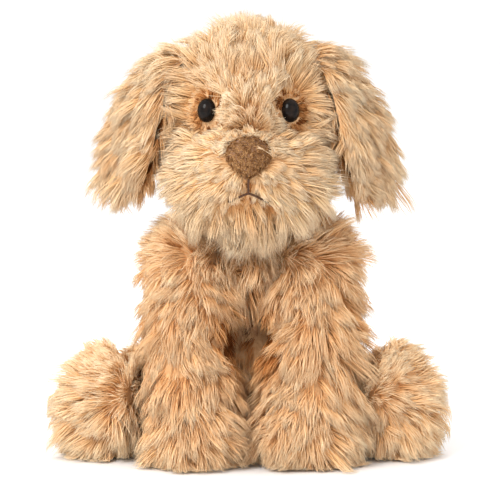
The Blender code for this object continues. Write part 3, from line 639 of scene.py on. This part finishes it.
def build(name, skins, strands, ground, nap):
    """One piece: cloth (slot 0) and its strands (slot 1)."""
    verts, faces4, faces3, uv4, uv3, slot4, slot3 = [], [], [], [], [], [], []
    at = 0
    for v, f in skins:
        verts.append(v)
        faces4.append(f + at)
        lo, hi = v.min(0), v.max(0)
        flat = (v - lo) / np.maximum(hi - lo, 1e-6)
        uv4.append(np.stack([0.02 + 0.96 * (flat[:, 0] * 0.5 + flat[:, 1] * 0.5), 0.02 + 0.96 * flat[:, 2]], axis=1)[f])
        slot4.append(np.zeros(len(f), np.int32))
        at += len(v)
    for s in strands:
        v, q, qu, t, tu = strand_mesh(s)
        verts.append(v)
        faces4.append(q + at)
        faces3.append(t + at)
        uv4.append(qu)
        uv3.append(tu)
        slot4.append(np.ones(len(q), np.int32))
        slot3.append(np.ones(len(t), np.int32))
        at += len(v)
    v = np.concatenate(verts)
    v = (v + [0, Y0, 0]) * MM
    q = np.concatenate(faces4)
    t = np.concatenate(faces3) if faces3 else np.zeros((0, 3), int)
    me = bpy.data.meshes.new(name)
    me.vertices.add(len(v))
    me.vertices.foreach_set("co", v.astype(np.float32).ravel())
    loops = np.concatenate([q.ravel(), t.ravel()])
    me.loops.add(len(loops))
    me.loops.foreach_set("vertex_index", loops.astype(np.int32))
    me.polygons.add(len(q) + len(t))
    starts = np.concatenate([np.arange(len(q)) * 4, len(q) * 4 + np.arange(len(t)) * 3])
    me.polygons.foreach_set("loop_start", starts.astype(np.int32))
    slots = np.concatenate(slot4 + slot3)
    me.polygons.foreach_set("material_index", slots.astype(np.int32))
    me.polygons.foreach_set("use_smooth", np.ones(len(slots), bool))
    layer = me.uv_layers.new(name="OFBake")
    uv = np.concatenate([np.concatenate(uv4).reshape(-1, 2)] + ([np.concatenate(uv3).reshape(-1, 2)] if uv3 else []))
    layer.uv.foreach_set("vector", uv.astype(np.float32).ravel())
    me.update(calc_edges=True)
    me.materials.append(ground)
    if nap is not None:
        me.materials.append(nap)
    obj = bpy.data.objects.new(name, me)
    bpy.context.scene.collection.objects.link(obj)
    return obj


def skin(frm, keep, inset=1.6, floor_at=None):
    """The part of a form's cloth where keep holds, drawn in a little."""
    f = frm["f"]
    mid = frm["v"][f].mean(axis=1)
    nn = unit(frm["n"][f].mean(axis=1))
    f = f[keep(mid, nn)]
    v = frm["v"] - frm["n"] * inset
    if floor_at is not None:
        v[:, 2] = np.maximum(v[:, 2], floor_at)
    used, back = np.unique(f, return_inverse=True)
    return v[used], back.reshape(f.shape)


def plush(name, body, node, frm, keep, count, field, seed, slot="pile", nap=None, fill=0.85, density=None, inset=-1.6, cloth=None, **look):
    """A padded cover panel in its pile, standing for its CAD panel."""
    p, n = sample(frm, count, keep, density, seed)
    strands = pile(p, n, field, seed, **look)
    obj = build(name, [skin(frm, cloth or keep, inset, 0.9)], [strands], face_backing if nap is pile_face else backing, nap or pile_body)
    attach(obj, body)
    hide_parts(node)
    return obj


def flow_noise(p, scale, seed):
    """Smooth pseudo-random values in about -1 to 1, from a few fixed waves."""
    r = np.random.default_rng(seed)
    out = np.zeros(len(p))
    for _ in range(7):
        k = r.normal(size=3) / scale
        out += np.sin(p @ k * 6.283 + r.random() * 6.283)
    return out / 2.65


DOWN = np.array([0.0, 0.0, -1.0])
UP = -DOWN

# ------------------------------------------------------------------ torso
torso = torso_form()


def clear_of_limbs(p, r_limb=0.0):
    bad = inside_ball(p, NECK, 20.5)
    for s in (1, -1):
        m = np.array([s, 1, 1])
        bad |= inside_ball(p, SHOULDER * m, 18.4)
        bad |= inside_ball(p, HIP * m, 23.2)
    bad |= inside_ball(p, TAIL, 11.4)
    return ~bad


def torso_field(p, n):
    comb = tangent(DOWN, n)
    side = tangent(np.array([1.0, 0, 0]), n)
    comb = unit(comb + side * (0.5 * flow_noise(p, 46, 3))[:, None])
    length = 21.0 + 2.0 * flow_noise(p, 25, 4)
    chest = smooth(2, -10, p[:, 1]) * smooth(62, 88, p[:, 2])
    length = length + 7.0 * chest
    length *= 1 - 0.35 * smooth(12, 2, p[:, 2])
    # hollow marks the recess between the front legs; its darkening below is painted shade.
    hollow = np.exp(-(((p[:, 2] - 68.0) / 13.0) ** 2)) * smooth(4, -6, p[:, 1])
    length *= 1 - 0.5 * hollow
    lift = 0.46 - 0.25 * hollow + 0.10 * flow_noise(p, 20, 5) + 0.34 * chest
    droop = 0.35 + 0.25 * chest
    # Painted shade: darker in the hollow and low on the front of the torso.
    shade = 0.60 + 0.12 * flow_noise(p, 30, 6) - 1.3 * hollow - 0.16 * smooth(60, 20, p[:, 2]) * smooth(10, -20, p[:, 1])
    return comb, length, lift, droop, shade


def region(test):
    return lambda p, n: test(p) & clear_of_limbs(p) & (p[:, 2] > 1.6)


SPLIT_Y = 14.0
plush("torso_belly_plush", "torso", "torso_belly_panel", torso, region(lambda p: p[:, 1] < SPLIT_Y), 12800, torso_field, 101)
plush(
    "torso_back_left_plush", "torso", "torso_back_left_panel", torso,
    region(lambda p: (p[:, 1] >= SPLIT_Y) & (p[:, 0] >= 0)), 12000, torso_field, 102,
)
plush(
    "torso_back_right_plush", "torso", "torso_back_right_panel", torso,
    region(lambda p: (p[:, 1] >= SPLIT_Y) & (p[:, 0] < 0)), 12000, torso_field, 103,
)

# ------------------------------------------------------------------ neck
neck = ellipsoid(NECK, np.array([NECK_R] * 3), 48, 30)


def neck_field(p, n):
    comb = tangent(DOWN, n)
    ahead = smooth(8, -10, p[:, 1])
    return comb, 17.0 + 9.0 * ahead, 0.5 + 0.25 * ahead, np.full(len(p), 0.4), 0.55 + 0.1 * flow_noise(p, 22, 8)


plush(
    "neck_plush", "neck", "neck_cover", neck,
    lambda p, n: (np.abs(p[:, 2] - NECK[2]) < 15.0), 4600, neck_field, 110,
)

# ------------------------------------------------------------------ head
skull = ellipsoid(SKULL_C, SKULL_R, 96, 60)
muzzle = ellipsoid(MUZZLE_C, MUZZLE_R, 90, 56)
BRIDGE = np.array([0.0, -44.0, 172.0])


def eye_distance(p):
    return np.minimum(*(np.linalg.norm(p - EYES[k][0], axis=1) for k in ("left", "right")))


def from_eye(p, n):
    left = p[:, 0] > 0
    at = np.where(left[:, None], EYES["left"][0], EYES["right"][0])
    return tangent(p - at, n)


def head_field(p, n):
    away = tangent(p - BRIDGE, n)
    down = tangent(DOWN, n)
    backward = tangent(np.array([0.0, 1.0, 0.25]), n)
    front = smooth(24, -16, p[:, 1])
    high = smooth(196, 214, p[:, 2])
    comb = unit(mixed(unit(down + backward * 0.35), away, front))
    comb = unit(mixed(comb, unit(backward * 0.4 + away), high))
    cheek = smooth(188, 168, p[:, 2]) * smooth(10, 26, np.abs(p[:, 0]))
    comb = unit(mixed(comb, unit(down + away * 0.8), 0.6 * cheek))
    d = eye_distance(p)
    near = smooth(15.0, 7.5, d)
    comb = unit(mixed(comb, unit(from_eye(p, n) + away * 0.25), near))
    side = np.cross(n, comb)
    comb = unit(comb + side * (0.55 * flow_noise(p, 30, 12))[:, None])
    length = (18.0 + 2.5 * flow_noise(p, 20, 13)) * (1 - 0.70 * near) * (1 - 0.04 * high)
    between = smooth(16, 6, np.abs(p[:, 0])) * smooth(-25, -38, p[:, 1])
    length *= 1 - 0.30 * between
    ear_root = smooth(22, 12, np.linalg.norm(np.abs(p) * [1, 0, 0] + p * [0, 1, 1] - [31.0, 0.0, 207.0], axis=1))
    comb = unit(mixed(comb, tangent(np.stack([np.sign(p[:, 0]), -0.2 + 0 * p[:, 0], -0.35 + 0 * p[:, 0]], axis=1), n), 0.7 * ear_root))
    droop = np.full(len(p), 0.14)
    lift = 0.46 + 0.14 * flow_noise(p, 18, 14) + 0.14 * high - 0.14 * near + 0.12 * ear_root
    toward = -np.sum(comb * from_eye(p, n), axis=1)
    w = smooth(0.0, 0.45, toward)
    length = length * (1 - w) + np.minimum(length, np.maximum(d - 4.8, 4.2)) * w
    flank = smooth(24, 33, np.abs(p[:, 0])) * smooth(216, 206, p[:, 2]) * smooth(20, 4, p[:, 1]) * smooth(9, 15, d)
    length = length + 4.0 * flank
    lift = lift + 0.32 * flank
    # Painted shade: a darker ring round each eye.
    shade = 0.68 + 0.13 * flow_noise(p, 24, 15) - 0.95 * smooth(11.5, 7.5, d) - 0.22 * smooth(8.8, 7.0, d) - 0.10 * between
    return comb, length, lift, droop, shade


def head_region(test, open_eyes=True):
    def keep(p, n):
        ok = test(p) & ~inside_ellipsoid(p, MUZZLE_C, MUZZLE_R, -1.0) & ~inside_ball(p, NECK, 21.0)
        return ok & (eye_distance(p) > 4.2) if open_eyes else ok

    return keep


G = 12.0
HEAD = dict(density=lambda p: 0.40 + 0.60 * smooth(22, 13, eye_distance(p)), slot="pile_face", nap=pile_face, fill=0.95, inset=0.0)

plush("head_gusset_plush", "head", "head_gusset", skull, head_region(lambda p: np.abs(p[:, 0]) <= G), 10500, head_field, 121, cloth=head_region(lambda p: np.abs(p[:, 0]) <= G, False), **HEAD)
plush("head_left_plush", "head", "head_left_panel", skull, head_region(lambda p: p[:, 0] > G), 12900, head_field, 122, cloth=head_region(lambda p: p[:, 0] > G, False), **HEAD)
plush("head_right_plush", "head", "head_right_panel", skull, head_region(lambda p: p[:, 0] < -G), 12900, head_field, 123, cloth=head_region(lambda p: p[:, 0] < -G, False), **HEAD)


def nose_local(p):
    q = p - NOSE_AT
    return q[:, 0], q @ NOSE_UP


def nose_outline(x, y, grow=0.0):
    """Below 1 inside the nose's outline."""
    yy = y / (12.0 + grow)
    narrow = 1.0 - 0.34 * np.clip(-yy, 0, 1) ** 1.2 - 0.05 * np.clip(yy, 0, 1)
    return (x / ((12.2 + grow) * narrow)) ** 2 + yy**2


def mouth_distance(p):
    """Distance in the front view to the mouth's thread."""
    x, z = p[:, 0], p[:, 2]
    lip = MOUTH_Z - 0.2 - 5.6 * (np.clip(np.abs(x), 0, 11) / 11.0) ** 1.35
    d1 = np.hypot(z - lip, np.maximum(np.abs(x) - 11.0, 0.0))
    d2 = np.hypot(x, np.maximum(np.maximum(MOUTH_Z - z, z - 151.0), 0.0))
    return np.where(p[:, 1] < -45, np.minimum(d1, d2), 99.0)


def muzzle_field(p, n):
    away = tangent(p - (NOSE_AT + NOSE_N * 1.0), n)
    down = tangent(DOWN, n)
    dist = np.linalg.norm(p - NOSE_AT, axis=1)
    low = smooth(MOUTH_Z + 2, MOUTH_Z - 9, p[:, 2])
    comb = unit(mixed(away, unit(down + away * 0.45), 0.65 * low))
    d = mouth_distance(p)
    side = np.cross(n, comb)
    comb = unit(comb + side * (0.22 * flow_noise(p, 26, 22))[:, None])
    length = 9.5 + 12.5 * smooth(12, 34, dist) + 1.5 * flow_noise(p, 18, 23)
    length += 3.5 * low
    length *= 1 - 0.62 * smooth(5.5, 0.8, d)
    lift = 0.20 + 0.20 * smooth(14, 36, dist) + 0.06 * flow_noise(p, 16, 24)
    lift = lift * (1 - 0.3 * smooth(6, 1, d))
    droop = 0.10 + 0.25 * low
    # Painted shade: darker along the mouth thread and around the nose.
    shade = 0.80 + 0.13 * flow_noise(p, 22, 25) - 0.95 * smooth(4.5, 0.5, d) - 0.25 * smooth(17, 12, dist)
    # Painted shade just under the mouth; painted light low on the chin, where it is made lighter.
    under = smooth(MOUTH_Z + 0.5, MOUTH_Z - 3.0, p[:, 2]) * smooth(15, 8, np.abs(p[:, 0])) * smooth(MOUTH_Z - 17, MOUTH_Z - 5, p[:, 2])
    shade = shade - 0.18 * under + 0.14 * smooth(139, 129, p[:, 2])
    d_eye = eye_distance(p)
    toward = -np.sum(comb * from_eye(p, n), axis=1)
    length = np.where((toward > 0.15) & (d_eye < 26), np.minimum(length, np.maximum(d_eye - 5.5, 3.5)), length)
    lift = lift + 0.14 * smooth(16, 11, dist)
    x, y = nose_local(p)
    over = (nose_outline(x, y) < 2.6) & (y > 2.0) & (flow_noise(p, 3.5, 27) > -0.1)
    toward = tangent(NOSE_AT + NOSE_UP * 1.0 + NOSE_N * 3.0 - p, n)
    comb = np.where(over[:, None], toward, comb)
    length = np.where(over, 8.5, length)
    lift = np.where(over, 0.62, lift)
    return comb, length, lift, droop, shade


def muzzle_region(test):
    def keep(p, n):
        x, y = nose_local(p)
        at_nose = (nose_outline(x, y, -2.6) < 1) & (p[:, 1] < -40)
        ok = test(p) & ~inside_ellipsoid(p, SKULL_C, SKULL_R, -2.0) & ~inside_ball(p, NECK, 21.0)
        return ok & ~at_nose & (mouth_distance(p) > 0.45)

    return keep


def over_mouth(p):
    return (p[:, 2] - MOUTH_Z) + (p[:, 1] + 60) * 0.10


def more_near_features(p):
    """Short strands by the nose, the mouth and the eyes stand closer together."""
    x, y = nose_local(p)
    rim = smooth(3.2, 1.0, nose_outline(x, y)) * (p[:, 1] < -40)
    near = np.maximum(np.maximum(rim, smooth(7, 3, mouth_distance(p))), smooth(13, 8, eye_distance(p)))
    return 0.42 + 0.58 * near


MUZZLE = dict(density=more_near_features, slot="pile_face", nap=pile_face, fill=0.95, per_lock=24, swing=0.17, clump=0.80, tilt=0.13, inset=0.3, root=1.2, radius=0.24)
plush("muzzle_plush", "head", "muzzle_panel", muzzle, muzzle_region(lambda p: over_mouth(p) > 0), 12900, muzzle_field, 131, **MUZZLE)
plush("chin_plush", "head", "chin_panel", muzzle, muzzle_region(lambda p: over_mouth(p) <= 0), 9500, muzzle_field, 132, **MUZZLE)


# nose: velour over its pad
def nose_form(shrink):
    base = ellipsoid(np.zeros(3), np.ones(3), 64, 40)
    u = base["v"]
    narrow = 1.0 - 0.46 * np.clip(-u[:, 1], 0, 1) ** 1.15 + 0.05 * np.clip(u[:, 1], 0, 1)
    x = u[:, 0] * (11.5 - shrink) * narrow
    y = u[:, 1] * (11.4 - shrink)
    z = u[:, 2] * (5.8 - shrink)
    crease = 0.5 * np.exp(-((u[:, 0] / 0.10) ** 2)) * smooth(0.2, -0.7, u[:, 1]) * (u[:, 2] > 0)
    z = z - crease
    v = NOSE_AT + np.outer(x, [1, 0, 0]) + np.outer(y, NOSE_UP) + np.outer(z, NOSE_N)
    return form(v, base["f"])


nose = nose_form(0.0)


def nose_field(p, n):
    comb = unit(tangent(DOWN, n) + tangent(np.array([1.0, 0, 0]), n) * (0.5 * flow_noise(p, 9, 31))[:, None])
    x, y = nose_local(p)
    rim = smooth(0.55, 1.0, nose_outline(x, y))
    # Painted light on the nose's side toward the key lamp (negative x); painted shade round its rim.
    shade = 0.44 + 0.40 * flow_noise(p, 2.6, 32) + 0.16 * smooth(4, -8, x) - 0.35 * rim
    return comb, np.full(len(p), 2.1), np.full(len(p), 0.5), np.full(len(p), 0.1), shade


def nose_keep(p, n):
    return ~inside_ellipsoid(p, MUZZLE_C, MUZZLE_R, 0.3)


np_, nn_ = sample(nose, 9000, nose_keep, None, 141)
nap = pile(np_, nn_, nose_field, 141, per_lock=5, clump=0.35, swing=0.6, radius=0.14, frizz=0.1, root=0.5, bend=0.2)
nose_obj = build("nose_velour", [skin(nose, nose_keep, 0.0)], [nap], nose_cloth, velour)
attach(nose_obj, "head")
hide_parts("nose_cover")


# mouth thread, raised to where the short pile lets it show
def tube(name, points, radius, body, nodes, mat, sides=10):
    pts = np.array(points)
    rings = []
    for i, c in enumerate(pts):
        along = unit(pts[min(i + 1, len(pts) - 1)] - pts[max(i - 1, 0)])
        side = unit(np.cross(along, [0, 1, 0.01]))
        up = np.cross(side, along)
        r = radius * (1.0 + 0.12 * math.sin(i * 1.9))
        if i in (0, len(pts) - 1):
            r = radius * 0.35
        rings.append(ring(c, side, up, r, r, sides))
    v, f = grid(rings, sides)
    obj = build(name, [(v, f)], [], mat, None)
    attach(obj, body)
    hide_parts(*nodes)
    return obj


THREAD_LIFT = 3.0
lip = []
for i in range(61):
    x = -11.0 + 22.0 * i / 60
    z = MOUTH_Z - 0.2 - 5.6 * (abs(x) / 11.0) ** 1.35
    ease = smooth(11.0, 7.5, abs(x))
    lip.append(on_ellipsoid(MUZZLE_C, MUZZLE_R, x, z + 0.6, 0.8 + (THREAD_LIFT - 0.8) * float(ease))[0])
tube("lip_thread", lip, 0.58, "head", ["lip_stitch"], thread_dark)
stroke = [on_ellipsoid(MUZZLE_C, MUZZLE_R, 0.0, z, THREAD_LIFT)[0] for z in np.linspace(MOUTH_Z + 0.1, 151.6, 17)]
tube("philtrum_thread", stroke, 0.58, "head", ["philtrum_stitch"], thread_dark)

# eyes: a high dome on its shank
for side in ("left", "right"):
    at, n = EYES[side]
    profile = []
    for k in range(0, 19):
        g = math.pi / 2 * (k + 0.15) / 18
        profile.append((6.6 * math.sin(g), 5.0 * math.cos(g)))
    profile += [(6.55, -0.35), (6.2, -0.6), (2.6, -0.7), (1.95, -1.2), (1.95, -9.0), (1.5, -9.6), (0.1, -9.7)]
    up = unit(np.array([0, 0, 1.0]) - n * n[2])
    across = np.cross(up, n)
    rings = [ring(at + n * (0.8 + h), across, up, r * 0.78, r * 0.97, 56) for r, h in profile]
    v, f = grid(rings, 56)
    frm = form(v, f)
    eye = build("eye_%s_gloss" % side, [(frm["v"], frm["f"])], [], eye_glass, None)
    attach(eye, "head")
    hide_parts("eye_" + side)


# ------------------------------------------------------------------ ears
def ear_form(offset, flip):
    steps, sides = 6, 44
    data = [catmull([(*p, t) for p, t in zip(EAR_LINE, EAR_TWIST)], i / steps) for i in range(steps * (len(EAR_LINE) - 1) + 1)]
    frames = []
    for i, d in enumerate(data):
        along = unit(data[min(i + 1, len(data) - 1)][:3] - data[max(i - 1, 0)][:3])
        t = math.radians(float(d[4]))
        wide = np.array([math.sin(t), math.cos(t), 0.0])
        wide = unit(wide - along * (wide @ along))
        out = unit(np.cross(wide, along))
        if out[0] < 0:
            out = -out
        frames.append((d[:3], along, wide, out, float(d[3])))
    rings = []
    c, along, wide, out, w = frames[0]
    rings.append(ring(c - along * 1.3 + out * offset, wide, out, w * 0.9, 0.6, sides))
    for c, along, wide, out, w in frames:
        rings.append(ring(c + out * offset, wide, out, w, 1.5, sides))
    c, along, wide, out, w = frames[-1]
    for reach, share in ((1.8, 0.93), (3.4, 0.80), (4.6, 0.62), (5.5, 0.38), (6.0, 0.10)):
        rings.append(ring(c + along * reach + out * offset, wide, out, w * share, 1.5 * math.sqrt(share), sides))
    v, f = grid(rings, sides)
    line = np.array([fr[0] for fr in frames])
    aims = np.array([fr[1] for fr in frames])
    outs = np.array([fr[3] for fr in frames])
    if flip:
        v, line, aims, outs = v * [-1, 1, 1], line * [-1, 1, 1], aims * [-1, 1, 1], outs * [-1, 1, 1]
    return form(v, f), line, aims, outs


for side, s in (("left", 1), ("right", -1)):
    for label, offset in (("outer", 1.65), ("inner", -1.65)):
        flap, line, aims, outs = ear_form(offset, s < 0)
        face = 1.0 if label == "outer" else -1.0

        def nearest(p, line=line):
            return np.argmin(np.linalg.norm(p[:, None, :] - line[None], axis=2), axis=1)

        def ear_field(p, n, aims=aims, outs=outs, face=face, side=side, near=nearest):
            k = near(p)
            comb = tangent(aims[k] + DOWN * 0.45, n)
            comb = unit(comb + tangent(np.array([np.sign(line[0, 0]), 0.25, 0.0]), n) * 0.34)
            comb = unit(comb + np.cross(n, comb) * (0.45 * flow_noise(p, 26, 41 + (side == "right")))[:, None])
            length = 19.5 + 2.0 * flow_noise(p, 18, 43)
            if face < 0:
                length = length * 0.85
            lift = 0.38 + 0.10 * flow_noise(p, 16, 44)
            if face < 0:
                lift = lift * 0.95
            # Painted shade: the inner panel, facing the head, is darker, a little less so near its top.
            shade = 0.64 + 0.14 * flow_noise(p, 20, 45) - (0.50 if face < 0 else 0.0)
            shade = shade + 0.16 * (face < 0) * smooth(168, 184, p[:, 2])
            near_root = np.exp(-((np.linalg.norm(p - line[0], axis=1) / 15.0) ** 2))
            lift = lift + 0.25 * near_root
            shade = shade + 0.08 * near_root
            return comb, length, lift, np.full(len(p), 0.35), shade

        def ear_keep(p, n, outs=outs, face=face, near=nearest):
            return np.sum(n * outs[near(p)], axis=1) * face > -0.35

        plush(
            "ear_%s_%s_plush" % (side, label), "ear_" + side, "ear_%s_%s_panel" % (side, label),
            flap, ear_keep, 9500 if face > 0 else 7000, ear_field, 150 + 2 * (s < 0) + (face < 0),
            inset=-0.9, root=0.5, fill=0.4, nap=pile_face,
        )


# ------------------------------------------------------------------ front legs
def front_field_for(s):
    line = np.array([catmull(FRONT_LINE, i / 4)[:3] for i in range(4 * (len(FRONT_LINE) - 1) + 1)]) * [s, 1, 1]

    def field(p, n):
        k = np.argmin(np.linalg.norm(p[:, None, :] - line[None], axis=2), axis=1)
        along = line[np.minimum(k + 1, len(line) - 1)] - line[np.maximum(k - 1, 0)]
        comb = tangent(unit(along) + DOWN * 0.4, n)
        out = np.array([s, 0, 0]) * np.clip((p[:, :1] * s - 31.0) / 13.0, -1, 1)
        spread = smooth(60, 14, p[:, 2])
        comb = unit(comb + (out - n * np.sum(out * n, axis=1, keepdims=True)) * (0.28 + 0.45 * spread)[:, None])
        comb = unit(comb + np.cross(n, comb) * (0.40 * flow_noise(p, 30, 51 + int(s > 0)))[:, None])
        foot = smooth(16, 5, p[:, 2])
        comb = unit(mixed(comb, unit(n * [1, 1, 0] + DOWN * 0.5), 0.5 * foot))
        length = 22.0 + 2.2 * flow_noise(p, 22, 53)
        top = smooth(96, 110, p[:, 2])
        comb = unit(mixed(comb, unit(tangent(UP, n) + tangent(np.array([0.6 * s, 0, 0]), n)), 0.8 * top))
        outer = smooth(36, 44, p[:, 0] * s)
        length += (3.5 if s > 0 else -3.5 * smooth(70, 90, p[:, 2])) * outer
        length *= 1 - 0.22 * foot
        lift = 0.46 + 0.12 * flow_noise(p, 18, 54) - 0.04 * spread + 0.22 * top + (0.06 if s > 0 else -0.10) * outer
        inside = smooth(26, 16, p[:, 0] * s)
        lift = lift + 0.18 * inside * smooth(66, 50, p[:, 2])
        # shadow and gap mark the leg's shaded inner side and the gap between the legs; their darkening below is painted
        # shade.
        shadow = inside * smooth(40, 58, p[:, 2]) * smooth(92, 78, p[:, 2])
        gap = inside * np.exp(-(((p[:, 2] - 70.0) / 11.0) ** 2))
        length *= 1 - 0.48 * gap
        lift = lift - 0.12 * gap
        droop = 0.28 + 0.0 * p[:, 0]
        length = length * (1 - 0.7 * sunk(p))
        inner = smooth(24, 14, p[:, 0] * s) * smooth(90, 60, p[:, 2])
        # Painted shade: darker on the inner side, in its shadow band and in the gap between the legs.
        shade = 0.62 + 0.14 * flow_noise(p, 28, 55) - 0.20 * inner - 0.62 * shadow - 0.55 * gap + 0.12 * smooth(40, 12, p[:, 2])
        return comb, length, lift, droop, shade

    return field


for side, s in (("left", 1), ("right", -1)):
    leg = limb(FRONT_LINE, 19.0, 17.0, np.array([0, 1.0, 0]), flip=s < 0)
    ball = SHOULDER * np.array([s, 1, 1])
    for label, sign in (("outer", 1), ("inner", -1)):

        def keep(p, n, s=s, sign=sign):
            ok = ((p[:, 0] * s - 31.3) * sign > 0) & (p[:, 2] > 1.6)
            return ok & ~inside_torso(p, 11.0) & ~inside_ball(p, NECK, 23.5)

        def shell(p, n, s=s, sign=sign):
            return ((p[:, 0] * s - 31.3) * sign > -0.8) & (p[:, 2] > 1.6)

        plush(
            "front_leg_%s_%s_plush" % (side, label), "front_leg_" + side, "front_leg_%s_%s_panel" % (side, label),
            leg, keep, 12900 if label == "outer" else 12600, front_field_for(s), 170 + 2 * (s < 0) + (sign < 0), cloth=shell,
        )


# ------------------------------------------------------------------ hind legs
def hind_field_for(s):
    line = np.array([catmull(HIND_LINE, i / 4)[:3] for i in range(4 * (len(HIND_LINE) - 1) + 1)]) * [s, 1, 1]
    end = line[-1]
    aim = HIND_DIR * [s, 1, 1]

    def field(p, n):
        k = np.argmin(np.linalg.norm(p[:, None, :] - line[None], axis=2), axis=1)
        along = unit(line[np.minimum(k + 1, len(line) - 1)] - line[np.maximum(k - 1, 0)])
        comb = tangent(along, n)
        cap = smooth(-2, 6, (p - end) @ aim)
        fan = tangent(p - (end + aim * 4.0 + np.array([-17.0 * s, 0.0, 5.0])), n)
        comb = unit(mixed(comb, fan, smooth(-16, 2, (p - end) @ aim)))
        comb = unit(comb + tangent(DOWN, n) * 0.22)
        crown = smooth(38, 50, p[:, 2])
        comb = unit(comb + np.cross(n, comb) * (0.35 * flow_noise(p, 30, 61 + int(s > 0)))[:, None])
        length = 20.0 + 2.2 * flow_noise(p, 20, 63)
        length *= 1 - 0.26 * crown
        lift = 0.46 + 0.12 * flow_noise(p, 18, 64) + 0.06 * cap - 0.08 * crown
        droop = 0.22 + 0.0 * p[:, 0]
        length = length * (1 - 0.7 * sunk(p))
        shade = 0.93 + 0.10 * flow_noise(p, 24, 65)
        return comb, length, lift, droop, shade

    return field


for side, s in (("left", 1), ("right", -1)):
    leg = limb(HIND_LINE, 24.0, 10.0, np.array([0, 0, 1.0]), flip=s < 0)
    across = np.array([-HIND_DIR[1] * s, HIND_DIR[0], 0.0])
    hip = HIP * np.array([s, 1, 1])
    for label, sign in (("outer", 1), ("inner", -1)):

        def keep(p, n, sign=sign, across=across, hip=hip):
            return (((p - hip) @ across) * sign > 0) & (p[:, 2] > 1.6) & ~inside_torso(p, 11.0)

        def shell(p, n, sign=sign, across=across, hip=hip):
            return (((p - hip) @ across) * sign > -0.8) & (p[:, 2] > 1.6)

        plush(
            "hind_leg_%s_%s_plush" % (side, label), "hind_leg_" + side, "hind_leg_%s_%s_panel" % (side, label),
            leg, keep, 12600, hind_field_for(s), 180 + 2 * (s < 0) + (sign < 0), cloth=shell,
            clump=0.58, tilt=0.14, radius=0.235,
        )

# ------------------------------------------------------------------ tail
tail = limb(TAIL_LINE, 12.0, 7.5, np.array([1.0, 0, 0]), sides=32)


def tail_field(p, n):
    line = np.array([catmull(TAIL_LINE, i / 4)[:3] for i in range(13)])
    k = np.argmin(np.linalg.norm(p[:, None, :] - line[None], axis=2), axis=1)
    along = unit(line[np.minimum(k + 1, 12)] - line[np.maximum(k - 1, 0)])
    comb = tangent(along, n)
    comb = unit(comb + np.cross(n, comb) * (0.4 * flow_noise(p, 20, 71))[:, None])
    return comb, 15.0 * (1 - 0.7 * sunk(p)), np.full(len(p), 0.42), np.full(len(p), 0.15), 0.58 + 0.12 * flow_noise(p, 18, 72)


for side, s in (("left", 1), ("right", -1)):
    plush(
        "tail_%s_plush" % side, "tail", "tail_%s_panel" % side, tail,
        lambda p, n, s=s: (p[:, 0] * s >= 0) & ~inside_torso(p, 9.0), 4800, tail_field, 190 + (s < 0),
        cloth=lambda p, n, s=s: p[:, 0] * s >= -0.8,
    )

# ------------------------------------------------------------------ what stays as the CAD made it
CARRIED = {
    "filling": fibre,
    "pad": fibre,
    "pouch": pouch,
    "base_panel": sole_cloth,
    "sole": sole_cloth,
    "washer": washer_plastic,
    "closing_stitch": thread_tan,
    "label": ribbon,
}
for name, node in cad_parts.items():
    if node.hide_render:
        continue
    for key, mat in CARRIED.items():
        if key in name:
            node.data.materials.clear()
            node.data.materials.append(mat)
            break

bpy.context.view_layer.update()
